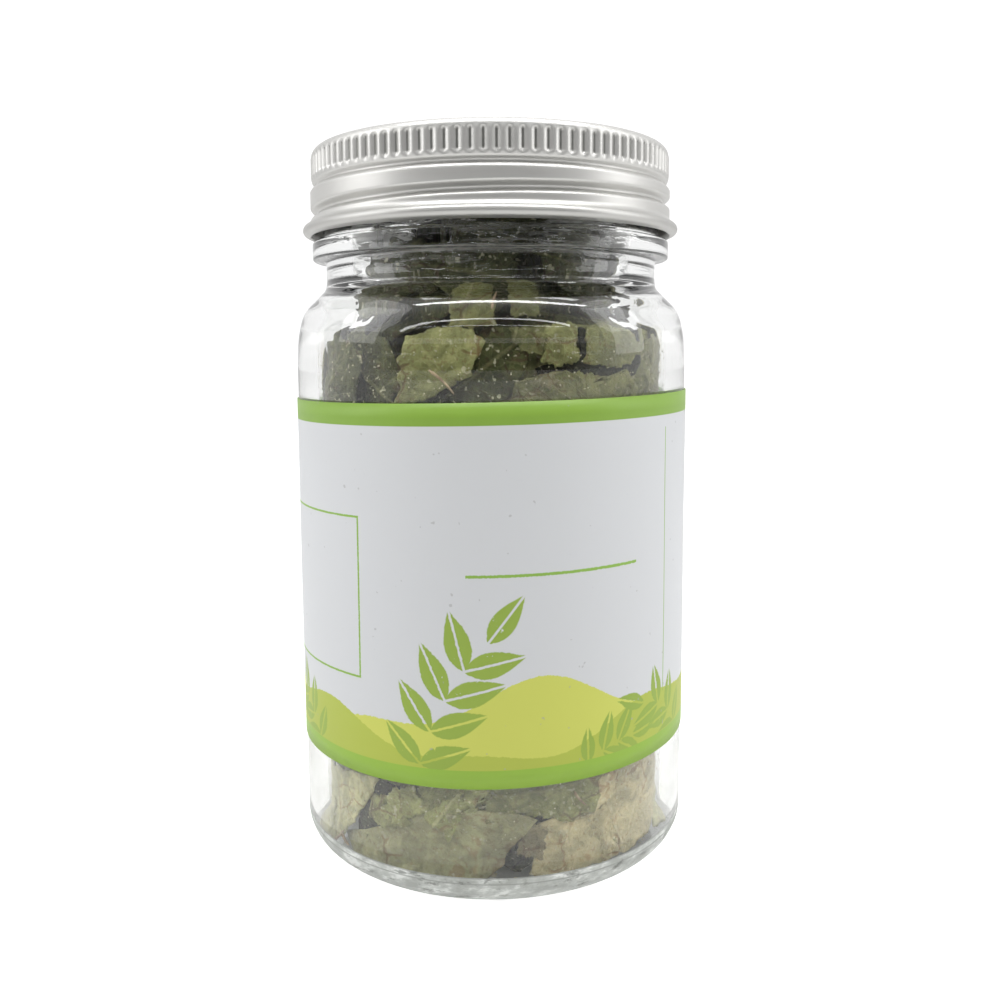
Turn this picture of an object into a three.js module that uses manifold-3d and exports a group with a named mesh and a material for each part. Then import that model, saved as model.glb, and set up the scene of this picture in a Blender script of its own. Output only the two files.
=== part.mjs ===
// A round glass jar of dried curry leaves with a screw-on aluminium lid.
// Millimetres, +Z up, origin at the centre of the base.
import * as THREE from 'three';
import { mergeVertices } from 'three/addons/utils/BufferGeometryUtils.js';
import Module from 'manifold-3d';

const wasm = await Module();
wasm.setup();

// ---- driving dimensions -------------------------------------------------------------------
const bodyRadius = 30;
const wallThickness = 3;
const floorHeight = 2.7;
const heelRadius = 4.3;
const innerCornerRadius = 1.5;
const pushUpHeight = 0.9;
const pushUpRadius = 22.4;

const shoulderBottom = 76;
const neckRadius = 25.35;
const neckBottom = 85.8;
const neckTop = 88.8;
const beadRadius = 27.35;
const beadBottom = 89.75;
const beadTop = 91.75;
const beadCorner = 0.35;
const beadFillet = 0.6;
const finishRadius = 25.8;
const boreRadius = 21.5;
const rimHeight = 103.5;
const rimOuterCorner = 0.9;
const rimInnerCorner = 0.8;

const threadPitch = 3.175;
const glassThreadRadius = 26.8;
const glassThreadHalfHeight = 1;
const glassThreadHalfCrest = 0.35;
const glassThreadSink = 0.6;
const glassThreadFade = 0.3;
const glassThreadStart = -150;
const glassThreadEnd = 366;

const lidTop = 105.8;
const lidBottom = 92.7;
const lidWall = 0.4;
const lidRadius = 27.2;
const knurlCount = 100;
const knurlCrest = 27.32;
const knurlRoot = 26.95;
const knurlTop = 104.4;
const knurlBottom = 101.75;
const lidThreadStart = 112;
const lidThreadEnd = 470;
const lidThreadHeightAtLeft = 96.15;
const lidThreadDepth = 0.95;
const lidThreadHalfWidth = 0.95;
const lidThreadRunOut = 26;
const lidThreadTop = 99.6;
const lidThreadFoot = 95.2;
const lidThreadRowStep = 0.46;
const glassThreadLead = 1.15;
const glassThreadRunOut = 24;
const lidBulge = 27.5;
const seatGrooveHeight = 100.4;
const seatGrooveRadius = 26.6;
const flangeRadius = 28.7;

const linerRadius = 26.3;
const linerThickness = 1;
const linerTop = 104.75;
const fitGap = 0.3;

const labelBottom = 17.5;
const labelTop = 69.3;
const labelThickness = 0.25;
const labelSeam = 7;

const jarSides = 40;
const lidSides = 50;
const leafThickness = 0.66;
const leafWallGap = 1;
const stalkShare = 0.08;
const widestShare = 0.93;

const shoulderStart = 76.8;
const shoulderRise = 10.2;
const shoulderDrawIn = 5.9;

// ---- materials ----------------------------------------------------------------------------
function finish(color, roughness, metalness = 0) {
  return new THREE.MeshStandardMaterial({ color, roughness, metalness });
}

const glassFinish = () => {
  const glass = finish(0xe6ecea, 0.05);
  glass.transparent = true;
  glass.opacity = 0.35;
  return glass;
};
const paperFinish = () => finish(0xe3e5e6, 0.6);
const aluminiumFinish = () => finish(0xd5d6d2, 0.3, 1);
const linerFinish = () => finish(0xe9e7df, 0.75);
const greenLeafFinish = () => finish(0x75775a, 0.8);
const darkLeafFinish = () => finish(0x4b4c3b, 0.85);
const paleLeafFinish = () => finish(0xa5a283, 0.8);
const tanLeafFinish = () => finish(0x9b947b, 0.8);

// ---- geometry helpers ---------------------------------------------------------------------
const radians = THREE.MathUtils.degToRad;

function smooth(value) {
  const x = THREE.MathUtils.clamp(value, 0, 1);
  return x * x * (3 - 2 * x);
}

function arc(centreR, centreZ, radius, fromDegrees, toDegrees, steps) {
  const points = [];
  for (let i = 0; i <= steps; i += 1) {
    const angle = radians(fromDegrees + ((toDegrees - fromDegrees) * i) / steps);
    points.push([centreR + radius * Math.cos(angle), centreZ + radius * Math.sin(angle)]);
  }
  return points;
}

function revolve(profile, sides) {
  const points = profile.map(([r, z]) => new THREE.Vector2(r, z));
  return new THREE.LatheGeometry(points, sides).rotateX(Math.PI / 2);
}

function geometryFrom(vertices, triangles) {
  const geometry = new THREE.BufferGeometry();
  geometry.setAttribute('position', new THREE.Float32BufferAttribute(vertices.flat(), 3));
  geometry.setIndex(triangles.flat());
  return geometry;
}

// Rings run anticlockwise seen from above and may differ in point count; a one-point ring closes an end.
function skin(rings) {
  const vertices = [];
  const triangles = [];
  const starts = rings.map((ring) => {
    const start = vertices.length;
    vertices.push(...ring);
    return start;
  });
  for (let k = 0; k + 1 < rings.length; k += 1) {
    const a = rings[k].length;
    const b = rings[k + 1].length;
    const upper = (i) => starts[k] + (i % a);
    const lower = (j) => starts[k + 1] + (j % b);
    let i = 0;
    let j = 0;
    while ((a > 1 && i < a) || (b > 1 && j < b)) {
      const stepUpper = b === 1 || (a > 1 && (i + 1) / a <= (j + 1) / b);
      if (stepUpper) {
        triangles.push([upper(i), lower(j), upper(i + 1)]);
        i += 1;
      } else {
        triangles.push([upper(i), lower(j), lower(j + 1)]);
        j += 1;
      }
    }
  }
  return geometryFrom(vertices, triangles);
}

function toSolid(geometry) {
  const bare = geometry.index ? geometry.clone() : geometry;
  bare.deleteAttribute('normal');
  bare.deleteAttribute('uv');
  const merged = mergeVertices(bare, 1e-4);
  const index = merged.index.array;
  const triangles = [];
  for (let i = 0; i < index.length; i += 3) {
    const [a, b, c] = [index[i], index[i + 1], index[i + 2]];
    if (a !== b && b !== c && c !== a) triangles.push(a, b, c);
  }
  return new wasm.Manifold(new wasm.Mesh({
    numProp: 3,
    vertProperties: new Float32Array(merged.attributes.position.array),
    triVerts: new Uint32Array(triangles),
  }));
}

function fromSolid(solid) {
  const mesh = solid.getMesh();
  const geometry = new THREE.BufferGeometry();
  geometry.setAttribute('position', new THREE.BufferAttribute(new Float32Array(mesh.vertProperties), 3));
  geometry.setIndex(new THREE.BufferAttribute(new Uint32Array(mesh.triVerts), 1));
  return geometry;
}

// The same draw for the same leaf and channel every time, from 0 to 1.
const scatter = { leaf: 127.1, channel: 311.7, spread: 43758.5453 };

function draw(leaf, channel) {
  const x = Math.sin(leaf * scatter.leaf + channel * scatter.channel) * scatter.spread;
  return x - Math.floor(x);
}

function between(low, high, amount) {
  return low + (high - low) * amount;
}

const jar = new THREE.Group();

function add(name, geometry, material) {
  const mesh = new THREE.Mesh(geometry, material);
  mesh.name = name;
  jar.add(mesh);
}

// ---- glass jar ----------------------------------------------------------------------------
const innerRadius = bodyRadius - wallThickness;

function glassProfile() {
  const shoulder = new THREE.SplineCurve([
    new THREE.Vector2(bodyRadius, shoulderBottom - 3),
    new THREE.Vector2(29.7, 78.4),
    new THREE.Vector2(28.7, 81.6),
    new THREE.Vector2(26.6, 83.9),
    new THREE.Vector2(neckRadius, neckBottom),
  ]).getPoints(8).map((p) => [p.x, p.y]);
  const innerShoulder = new THREE.SplineCurve([
    new THREE.Vector2(boreRadius, neckBottom + 1.6),
    new THREE.Vector2(22.6, 84.6),
    new THREE.Vector2(25.6, 81.6),
    new THREE.Vector2(innerRadius, shoulderBottom + 0.6),
  ]).getPoints(6).map((p) => [p.x, p.y]);
  const heel = arc(bodyRadius - heelRadius, heelRadius, heelRadius, -90, 0, 5);
  const corner = arc(
    innerRadius - innerCornerRadius,
    floorHeight + innerCornerRadius,
    innerCornerRadius,
    0,
    -90,
    4,
  );
  return [
    [0, pushUpHeight],
    [pushUpRadius - 4, pushUpHeight],
    [pushUpRadius, 0],
    ...heel,
    ...shoulder,
    [neckRadius, neckTop],
    [neckRadius + beadFillet, beadBottom - beadCorner],
    [beadRadius - beadCorner, beadBottom - beadCorner],
    [beadRadius, beadBottom],
    [beadRadius, beadTop],
    [beadRadius - beadCorner, beadTop + beadCorner],
    [finishRadius, beadTop + beadCorner + beadFillet],
    [finishRadius, rimHeight - rimOuterCorner],
    [finishRadius - rimOuterCorner, rimHeight],
    [boreRadius + rimInnerCorner, rimHeight],
    [boreRadius, rimHeight - rimInnerCorner],
    ...innerShoulder,
    ...corner,
    [0, floorHeight],
  ];
}

// Right-hand thread: it rises anticlockwise seen from above. Its height is given at the left, 180 degrees.
function lidThreadHeight(degrees) {
  return lidThreadHeightAtLeft + (threadPitch * (degrees - 180)) / 360;
}

function glassThread() {
  const stepDegrees = 360 / jarSides;
  const steps = Math.round((glassThreadEnd - glassThreadStart) / stepDegrees);
  const vertices = [];
  const triangles = [];
  for (let i = 0; i <= steps; i += 1) {
    const degrees = between(glassThreadStart, glassThreadEnd, i / steps);
    const fromEnd = Math.min(degrees - glassThreadStart, glassThreadEnd - degrees);
    const faded = finishRadius - glassThreadFade;
    const crest = between(faded, glassThreadRadius, smooth(fromEnd / glassThreadRunOut));
    const z = lidThreadHeight(degrees) + glassThreadLead;
    const root = finishRadius - glassThreadSink;
    const section = [
      [root, -glassThreadHalfHeight],
      [crest, -glassThreadHalfCrest],
      [crest, glassThreadHalfCrest],
      [root, glassThreadHalfHeight],
    ];
    const angle = radians(degrees);
    section.forEach(([r, dz]) => vertices.push([r * Math.cos(angle), r * Math.sin(angle), z + dz]));
    if (i === steps) break;
    for (let k = 0; k < 4; k += 1) {
      const next = (k + 1) % 4;
      const [a, b] = [4 * i + k, 4 * i + next];
      triangles.push([a, a + 4, b], [b, a + 4, b + 4]);
    }
  }
  const last = 4 * steps;
  triangles.push([0, 1, 2], [0, 2, 3], [last, last + 2, last + 1], [last, last + 3, last + 2]);
  return geometryFrom(vertices, triangles);
}

function glassJar() {
  const blown = toSolid(revolve(glassProfile(), jarSides));
  return fromSolid(blown.add(toSolid(glassThread())));
}

add('glass_jar', glassJar(), glassFinish());

// ---- paper label --------------------------------------------------------------------------
function label() {
  const inner = bodyRadius + 0.2;
  const outer = inner + labelThickness;
  const first = 90 + labelSeam / 2;
  const last = 450 - labelSeam / 2;
  const vertices = [];
  const triangles = [];
  for (let i = 0; i <= jarSides; i += 1) {
    const angle = radians(between(first, last, i / jarSides));
    [[inner, labelBottom], [outer, labelBottom], [outer, labelTop], [inner, labelTop]].forEach(([r, z]) => {
      vertices.push([r * Math.cos(angle), r * Math.sin(angle), z]);
    });
    if (i === jarSides) break;
    for (let k = 0; k < 4; k += 1) {
      const next = (k + 1) % 4;
      const [a, b] = [4 * i + k, 4 * i + next];
      triangles.push([a, a + 4, b], [b, a + 4, b + 4]);
    }
  }
  const end = 4 * jarSides;
  triangles.push([0, 1, 2], [0, 2, 3], [end, end + 2, end + 1], [end, end + 3, end + 2]);
  return geometryFrom(vertices, triangles);
}

add('paper_label', label(), paperFinish());

// ---- lid ----------------------------------------------------------------------------------
function circle(radius, z, count = lidSides) {
  const points = [];
  for (let i = 0; i < count; i += 1) {
    const angle = (2 * Math.PI * i) / count;
    const r = typeof radius === 'function' ? radius(i, THREE.MathUtils.radToDeg(angle)) : radius;
    points.push([r * Math.cos(angle), r * Math.sin(angle), z]);
  }
  return points;
}

// How far the rolled thread presses the wall in at this height and angle.
function threadPress(degrees, z) {
  let press = 0;
  for (let turn = degrees; turn < lidThreadEnd; turn += 360) {
    if (turn > lidThreadStart) {
      const offset = Math.abs(z - lidThreadHeight(turn)) / lidThreadHalfWidth;
      const ends = Math.min(turn - lidThreadStart, lidThreadEnd - turn) / lidThreadRunOut;
      if (offset < 1) press = Math.max(press, Math.cos((offset * Math.PI) / 2) ** 2 * smooth(ends));
    }
  }
  return press * lidThreadDepth;
}

function knurl(i) {
  return i % 2 === 0 ? knurlCrest : knurlRoot;
}

function lidShell() {
  const threadHeights = [];
  for (let z = lidThreadTop; z > lidThreadFoot; z -= lidThreadRowStep) threadHeights.push(z);
  const outerThread = threadHeights.map((z) => {
    return circle((i, degrees) => lidBulge - threadPress(degrees, z), z);
  });
  const innerThread = threadHeights.map((z) => {
    return circle((i, degrees) => lidBulge - lidWall - threadPress(degrees, z), z);
  });
  const outer = [
    [[0, 0, lidTop - 0.2]],
    circle(lidRadius - 3, lidTop - 0.2),
    circle(lidRadius - 2, lidTop),
    circle(lidRadius - 1.1, lidTop),
    circle(lidRadius - 0.35, lidTop - 0.45),
    circle(lidRadius - 0.15, knurlTop + 0.35, 2 * lidSides),
    circle(knurl, knurlTop - 0.1, 2 * knurlCount),
    circle(knurl, knurlBottom + 0.1, 2 * knurlCount),
    circle(lidRadius, knurlBottom - 0.4, 2 * lidSides),
    circle(lidRadius, seatGrooveHeight + 0.6),
    circle(seatGrooveRadius, seatGrooveHeight + 0.15),
    circle(seatGrooveRadius, seatGrooveHeight - 0.15),
    ...outerThread,
    circle(lidBulge + 0.25, 94.95),
    circle(flangeRadius - 0.35, 94.5),
    circle(flangeRadius, 94),
    circle(flangeRadius - 0.1, 93.4),
    circle(flangeRadius - 0.6, lidBottom),
  ];
  const inner = [
    circle(lidBulge + 0.2, lidBottom),
    circle(lidBulge - lidWall + 0.1, lidBottom + 0.9),
    ...innerThread.reverse(),
    circle(seatGrooveRadius - lidWall, seatGrooveHeight - 0.2),
    circle(seatGrooveRadius - lidWall, seatGrooveHeight + 0.2),
    circle(lidRadius - lidWall - 0.2, seatGrooveHeight + 0.8),
    circle(lidRadius - lidWall - 0.2, linerTop + 0.1),
    circle(lidRadius - lidWall - 0.8, linerTop + fitGap),
    [[0, 0, linerTop + fitGap]],
  ];
  return skin([...outer, ...inner]);
}

add('lid_shell', lidShell(), aluminiumFinish());

const liner = revolve(
  [
    [0, linerTop - linerThickness],
    [linerRadius, linerTop - linerThickness],
    [linerRadius, linerTop],
    [0, linerTop],
  ],
  jarSides,
);
add('lid_liner', liner, linerFinish());

// ---- leaves -------------------------------------------------------------------------------
// Leaves lie against the wall in rings. In a ring each leaf leans from the wall inwards, so that its far
// side passes behind the next leaf, as tiles lap. `lap` is the step inwards from one leaf to the next,
// `inset` is how far the ring stands in from the wall, and `rests` is the end of its height that it lies at.
const wallRadius = innerRadius - leafWallGap;
const neckWallRadius = wallRadius - shoulderDrawIn;
const neckLeafShare = 0.8;
const rings = {
  low: { count: 10, first: 20, lap: 2.2, side: 1, low: 3.3, high: 34, tilt: 26, rests: 'floor', seed: 10 },
  mid: { count: 9, first: 20, lap: 2.2, side: -1, low: 34.8, high: 56, tilt: 33, seed: 40 },
  high: { count: 12, first: 14, lap: 1.75, side: -1, low: 56.6, high: 80.3, rests: 'top', seed: 70 },
  shoulder: { count: 8, first: 30, lap: 2, side: -1, low: 72.5, high: 90, tilt: 30, inset: 4.3, seed: 220 },
  neck: { count: 8, first: 14, lap: 1.6, side: 1, low: 80.9, high: 102.6, rests: 'floor', seed: 100 },
};
const anyTilt = 40;
const ringKinds = {
  low: ['pale', 'green', 'tan'],
  mid: ['green', 'dark', 'pale'],
  high: ['dark', 'green', 'dark', 'green'],
  shoulder: ['dark', 'green', 'dark'],
  neck: ['dark'],
};

// Leaves that are set by hand, by ring and place in it: lean from level, size, middle height and colour.
const chosen = {
  low_5: { start: 196, lean: 74, length: 27, width: 15, cup: 0.1, wave: 0.1, kind: 'pale' },
  low_6: { start: 216, lean: 202, length: 33, width: 19, cup: 0.1, wave: 0.1, kind: 'green' },
  low_7: { start: 276, lean: 219, length: 34, width: 18, kind: 'tan' },
  high_8: { lean: -30, length: 26, width: 14, kind: 'dark' },
  high_9: { lean: 36, length: 27, width: 15.5, kind: 'dark' },
  high_10: { lean: 28, length: 26, width: 15, kind: 'green' },
  high_11: { lean: -24, length: 27, width: 15, kind: 'green' },
};

// Inner bunches: a core with lapped leaves sunk in it and standing out of it.
const bodyBunch = { count: 6, lap: 6.4, radius: 18.2, core: 13.4, coreLift: 0.6 };
const neckBunch = { count: 5, lap: 5.6, radius: 12.4, core: 8, coreLift: 0.6, tilt: 34 };
const bunches = {
  low: { ...bodyBunch, first: 0, side: -1, low: 3.9, high: 30, seed: 130, coreLift: -0.6, bed: 9 },
  mid: { ...bodyBunch, first: 30, side: 1, low: 30.7, high: 55.5, seed: 150 },
  high: { ...bodyBunch, first: 10, side: -1, low: 56.2, high: 79, seed: 170 },
  neck: { ...neckBunch, first: 50, side: -1, low: 79.7, high: 101.5, seed: 190 },
};
const core = { sides: 10, levels: 5, headroom: 1.5, endShare: 0.78, lump: [0.9, 1.04] };
const bed = { height: 3.3, stagger: 0.03, reach: 22.4, length: [17, 20], width: [11, 14], tilt: 24 };
const ringBladeSteps = 8;
const bunchBladeSteps = 5;

// What leaves differ in: lowest and highest value of each, and the share of them that are broken off.
const leafRange = {
  length: [23, 31],
  width: [11.5, 15.5],
  cup: [-0.3, 0.3],
  wave: [0.1, 0.22],
  turn: [0, 6],
  torn: [0.62, 0.8],
};
const tornOdds = 0.4;

const leafColours = {
  green: greenLeafFinish,
  dark: darkLeafFinish,
  pale: paleLeafFinish,
  tan: tanLeafFinish,
};

function lappedLeaf(ring, place, ringName) {
  const id = ring.seed + place;
  const kinds = ringKinds[ringName] ?? ['dark'];
  const size = ring === rings.neck ? neckLeafShare : 1;
  const wall = ring === rings.neck ? neckWallRadius : wallRadius - (ring.inset ?? 0);
  const tilt = ring.tilt ?? anyTilt;
  const leaf = {
    ring,
    radius: ring.radius ?? wall,
    lean: between(-tilt, tilt, draw(id, 1)),
    length: size * between(...leafRange.length, draw(id, 2)),
    width: size * between(...leafRange.width, draw(id, 3)),
    kind: kinds[Math.floor(draw(id, 4) * kinds.length)],
    torn: ringName && draw(id, 5) < tornOdds ? between(...leafRange.torn, draw(id, 6)) : 1,
    cup: between(...leafRange.cup, draw(id, 7)),
    wave: between(...leafRange.wave, draw(id, 8)),
    turn: between(...leafRange.turn, draw(id, 9)),
    ...chosen[`${ringName}_${place}`],
  };
  // Half of what a leaf takes up round the wall and upwards, as an ellipse at its lean does.
  const lean = radians(leaf.lean);
  const breadth = leaf.width * widestShare;
  const halfRound = Math.hypot(leaf.length * Math.cos(lean), breadth * Math.sin(lean)) / 2;
  const halfRise = Math.hypot(leaf.length * Math.sin(lean), breadth * Math.cos(lean)) / 2;
  const lowest = ring.low + halfRise;
  const highest = Math.max(lowest, ring.high - halfRise);
  const resting = { floor: lowest, top: highest };
  leaf.height = resting[ring.rests] ?? between(lowest, highest, draw(id, 10));
  leaf.step = 360 / ring.count;
  leaf.start ??= ring.first + place * leaf.step;
  leaf.angle = leaf.start + ring.side * THREE.MathUtils.radToDeg(halfRound / leaf.radius);
  return leaf;
}

// Half width of a leaflet from its stalk, 0, to its drawn-out tip, 1, as a share of the full half width.
function outline(s) {
  const along = THREE.MathUtils.clamp((s - stalkShare) / (1 - stalkShare), 0, 1);
  return Math.sin(Math.PI * along ** 0.82) ** 0.8 * (1 - 0.12 * along);
}

// The wall that a leaf lies on: straight, drawn in over the corner at the floor and at the shoulder.
function laneRadius(leaf, degrees, z) {
  const rise = THREE.MathUtils.clamp(floorHeight + innerCornerRadius - z, 0, innerCornerRadius);
  const atFloor = innerCornerRadius - Math.sqrt(innerCornerRadius ** 2 - rise ** 2);
  const atShoulder = shoulderDrawIn * smooth((z - shoulderStart) / shoulderRise);
  const wall = leaf.ring.radius ?? wallRadius - (leaf.ring.inset ?? 0) - atFloor - atShoulder;
  const along = (leaf.ring.side * (degrees - leaf.start)) / leaf.step;
  return wall - leaf.ring.lap * along;
}

// Middle surface of a leaf: s from stalk to tip, t from edge to edge, both faces offset from it.
function bladePoint(leaf, s, t, offset) {
  const edge = 1 + 0.06 * Math.sin(34 * s + leaf.turn) * Math.abs(t);
  const half = Math.max(0.4, 0.5 * leaf.width * outline(Math.min(s, 0.985)) * edge);
  const along = (s - 0.5) * leaf.length;
  const across = t * half;
  const lean = radians(leaf.lean);
  const round = along * Math.cos(lean) - across * Math.sin(lean);
  const z = leaf.height + along * Math.sin(lean) + across * Math.cos(lean);
  const degrees = leaf.angle + THREE.MathUtils.radToDeg(round / leaf.radius);
  const ripple = leaf.wave * Math.sin(9 * s + leaf.turn) * t + 0.12 * Math.sin(5 * s + 2 * leaf.turn);
  const relief = leaf.cup * ((2 * across) / leaf.width) ** 2 + ripple;
  const radius = laneRadius(leaf, degrees, z) + relief + offset;
  const angle = radians(degrees);
  return [radius * Math.cos(angle), radius * Math.sin(angle), z];
}

function blade(point, lengthSteps, last) {
  const acrossSteps = 2;
  const rowSize = acrossSteps + 1;
  const vertices = [];
  const triangles = [];
  [-0.5, 0.5].forEach((face) => {
    for (let i = 0; i <= lengthSteps; i += 1) {
      for (let j = 0; j <= acrossSteps; j += 1) {
        const s = i === 0 ? 0 : between(stalkShare, last, (i - 1) / (lengthSteps - 1));
        vertices.push(point(s, (2 * j) / acrossSteps - 1, face * leafThickness));
      }
    }
  });
  const layer = rowSize * (lengthSteps + 1);
  const quad = (a, b, c, d) => triangles.push([a, b, c], [a, c, d]);
  for (let i = 0; i < lengthSteps; i += 1) {
    for (let j = 0; j < acrossSteps; j += 1) {
      const a = i * rowSize + j;
      const [b, c, d] = [a + 1, a + rowSize + 1, a + rowSize];
      triangles.push([a, b, c], [a, c, d]);
      triangles.push([a + layer, c + layer, b + layer], [a + layer, d + layer, c + layer]);
    }
    const left = i * rowSize;
    const right = left + acrossSteps;
    quad(left, left + rowSize, left + rowSize + layer, left + layer);
    quad(right, right + layer, right + rowSize + layer, right + rowSize);
  }
  for (let j = 0; j < acrossSteps; j += 1) {
    const tip = lengthSteps * rowSize + j;
    quad(j, j + layer, j + 1 + layer, j + 1);
    quad(tip, tip + 1, tip + 1 + layer, tip + layer);
  }
  return geometryFrom(vertices, triangles);
}

function lappedBlade(leaf, lengthSteps) {
  return blade((s, t, offset) => bladePoint(leaf, s, t, offset), lengthSteps, leaf.torn);
}

Object.entries(rings).forEach(([ringName, ring]) => {
  for (let place = 0; place < ring.count; place += 1) {
    const leaf = lappedLeaf(ring, place, ringName);
    const name = `leaf_${ringName}_${String(place + 1).padStart(2, '0')}`;
    add(name, lappedBlade(leaf, ringBladeSteps), leafColours[leaf.kind]());
  }
});

function bunchCore(bunch) {
  const top = bunch.high - core.headroom;
  const bottom = bunch.low + bunch.coreLift;
  const coreRings = [];
  for (let level = 0; level < core.levels; level += 1) {
    const z = between(top, bottom, level / (core.levels - 1));
    const narrow = level === 0 || level === core.levels - 1 ? core.endShare : 1;
    const lump = (i) => bunch.core * narrow * between(...core.lump, draw(bunch.seed + level, 20 + i));
    coreRings.push(circle(lump, z, core.sides));
  }
  return toSolid(skin([[[0, 0, top]], ...coreRings, [[0, 0, bottom]]]));
}

// A leaf that lies flat on the floor with its tip towards the wall.
function bedBlade(bunch, place) {
  const id = bunch.seed + 50 + place;
  const length = between(...bed.length, draw(id, 2));
  const width = between(...bed.width, draw(id, 3));
  const turn = radians(between(-bed.tilt, bed.tilt, draw(id, 1)));
  const bearing = radians((360 * place) / bunch.bed);
  const middle = bed.reach - length / 2;
  const level = bed.height + between(-bed.stagger, bed.stagger, place % 2);
  return blade((s, t, offset) => {
    const along = (s - 0.5) * length;
    const across = 0.5 * t * Math.max(0.8, width * outline(Math.min(s, 0.985)));
    const x = middle + along * Math.cos(turn) - across * Math.sin(turn);
    const y = along * Math.sin(turn) + across * Math.cos(turn);
    return [
      x * Math.cos(bearing) - y * Math.sin(bearing),
      x * Math.sin(bearing) + y * Math.cos(bearing),
      level + offset,
    ];
  }, bunchBladeSteps, 1);
}

Object.entries(bunches).forEach(([name, bunch]) => {
  let solid = bunchCore(bunch);
  for (let place = 0; place < bunch.count; place += 1) {
    solid = solid.add(toSolid(lappedBlade(lappedLeaf(bunch, place), bunchBladeSteps)));
  }
  for (let place = 0; place < (bunch.bed ?? 0); place += 1) {
    solid = solid.add(toSolid(bedBlade(bunch, place)));
  }
  add(`leaf_pack_${name}`, fromSolid(solid), darkLeafFinish());
});

export default jar;
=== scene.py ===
# A glass jar of dried curry leaves: finishes, fine leaves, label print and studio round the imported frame
import bpy
import math
import numpy as np
from mathutils import Matrix, Vector


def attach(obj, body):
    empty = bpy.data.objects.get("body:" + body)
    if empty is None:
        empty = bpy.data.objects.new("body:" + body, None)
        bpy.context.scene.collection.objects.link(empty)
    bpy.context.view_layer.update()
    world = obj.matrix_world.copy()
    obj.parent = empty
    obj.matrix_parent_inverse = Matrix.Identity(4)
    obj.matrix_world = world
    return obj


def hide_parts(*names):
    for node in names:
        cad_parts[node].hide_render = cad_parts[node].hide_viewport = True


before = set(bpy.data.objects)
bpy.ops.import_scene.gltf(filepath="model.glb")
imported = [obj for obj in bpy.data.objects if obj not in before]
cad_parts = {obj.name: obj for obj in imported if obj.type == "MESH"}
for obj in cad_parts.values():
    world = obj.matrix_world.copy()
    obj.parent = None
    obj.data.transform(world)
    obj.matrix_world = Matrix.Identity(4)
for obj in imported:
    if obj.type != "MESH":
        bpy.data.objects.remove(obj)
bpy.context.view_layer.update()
print("frame loaded:", len(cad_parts), "nodes")

mm = 0.001


# small tools for node trees

class Wire:
    # a node socket that takes part in Python arithmetic
    def __init__(self, graph, socket):
        self.graph = graph
        self.socket = socket

    def __add__(self, other):
        return self.graph.math("ADD", self, other)

    def __radd__(self, other):
        return self.graph.math("ADD", other, self)

    def __sub__(self, other):
        return self.graph.math("SUBTRACT", self, other)

    def __rsub__(self, other):
        return self.graph.math("SUBTRACT", other, self)

    def __mul__(self, other):
        return self.graph.math("MULTIPLY", self, other)

    def __rmul__(self, other):
        return self.graph.math("MULTIPLY", other, self)

    def __truediv__(self, other):
        return self.graph.math("DIVIDE", self, other)

    def __rtruediv__(self, other):
        return self.graph.math("DIVIDE", other, self)

    def __pow__(self, other):
        return self.graph.math("POWER", self, other)

    def __lt__(self, other):
        return self.graph.math("LESS_THAN", self, other)

    def __gt__(self, other):
        return self.graph.math("GREATER_THAN", self, other)

    def __abs__(self):
        return self.graph.math("ABSOLUTE", self)


class Graph:
    def __init__(self, tree):
        self.tree = tree

    def add(self, kind, settings=None, out=0, **inputs):
        node = self.tree.nodes.new(kind)
        for name, value in (settings or {}).items():
            setattr(node, name, value)
        for name, value in inputs.items():
            self.put(self.findInput(node, name), value)
        return Wire(self, node.outputs[out])

    def findInput(self, node, name):
        if name.startswith("in") and name[2:].isdigit():
            return node.inputs[int(name[2:])]
        wanted = name.replace("_", " ").lower()
        for socket in node.inputs:
            if socket.name.lower() == wanted and socket.enabled:
                return socket
        raise KeyError(f"{node.bl_idname} has no input {name}")

    def put(self, socket, value):
        if isinstance(value, Wire):
            self.tree.links.new(value.socket, socket)
        else:
            socket.default_value = value

    def math(self, operation, *values, clamp=False):
        node = self.tree.nodes.new("ShaderNodeMath")
        node.operation = operation
        node.use_clamp = clamp
        for socket, value in zip(node.inputs, values):
            self.put(socket, value)
        return Wire(self, node.outputs[0])

    def smooth(self, value, low, high, bottom=0.0, top=1.0):
        return self.add("ShaderNodeMapRange", {"interpolation_type": "SMOOTHSTEP", "clamp": True},
                        value=value, from_min=low, from_max=high, to_min=bottom, to_max=top)

    def mix(self, amount, first, second, blend="MIX"):
        node = self.tree.nodes.new("ShaderNodeMix")
        node.data_type = "RGBA"
        node.blend_type = blend
        node.clamp_factor = True
        self.put(node.inputs[0], amount)
        self.put(node.inputs[6], colour(first))
        self.put(node.inputs[7], colour(second))
        return Wire(self, node.outputs[2])

    def split(self, vector):
        node = self.tree.nodes.new("ShaderNodeSeparateXYZ")
        self.put(node.inputs[0], vector)
        return [Wire(self, s) for s in node.outputs]

    def join(self, x, y, z):
        return self.add("ShaderNodeCombineXYZ", in0=x, in1=y, in2=z)

    def noise(self, vector, scale, detail=3.0, roughness=0.5):
        return self.add("ShaderNodeTexNoise", vector=vector, scale=scale, detail=detail, roughness=roughness)

    def place(self):
        # where the point lies, in the object's own coordinates
        return self.add("ShaderNodeTexCoord", out=3)

    def reach(self, x, y):
        # how far the point is from the axis
        return self.math("SQRT", x * x + y * y)

    def bearing(self, x, y):
        return self.math("ARCTAN2", y, x)


def colour(value):
    return value if isinstance(value, Wire) else (*value[:3], 1.0)


def makeMaterial(name, **fixed):
    material = bpy.data.materials.new(name)
    material.use_nodes = True
    graph = Graph(material.node_tree)
    shader = material.node_tree.nodes["Principled BSDF"]
    for socketName, value in fixed.items():
        shader.inputs[socketName.replace("_", " ")].default_value = value
    return material, graph, shader


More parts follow.
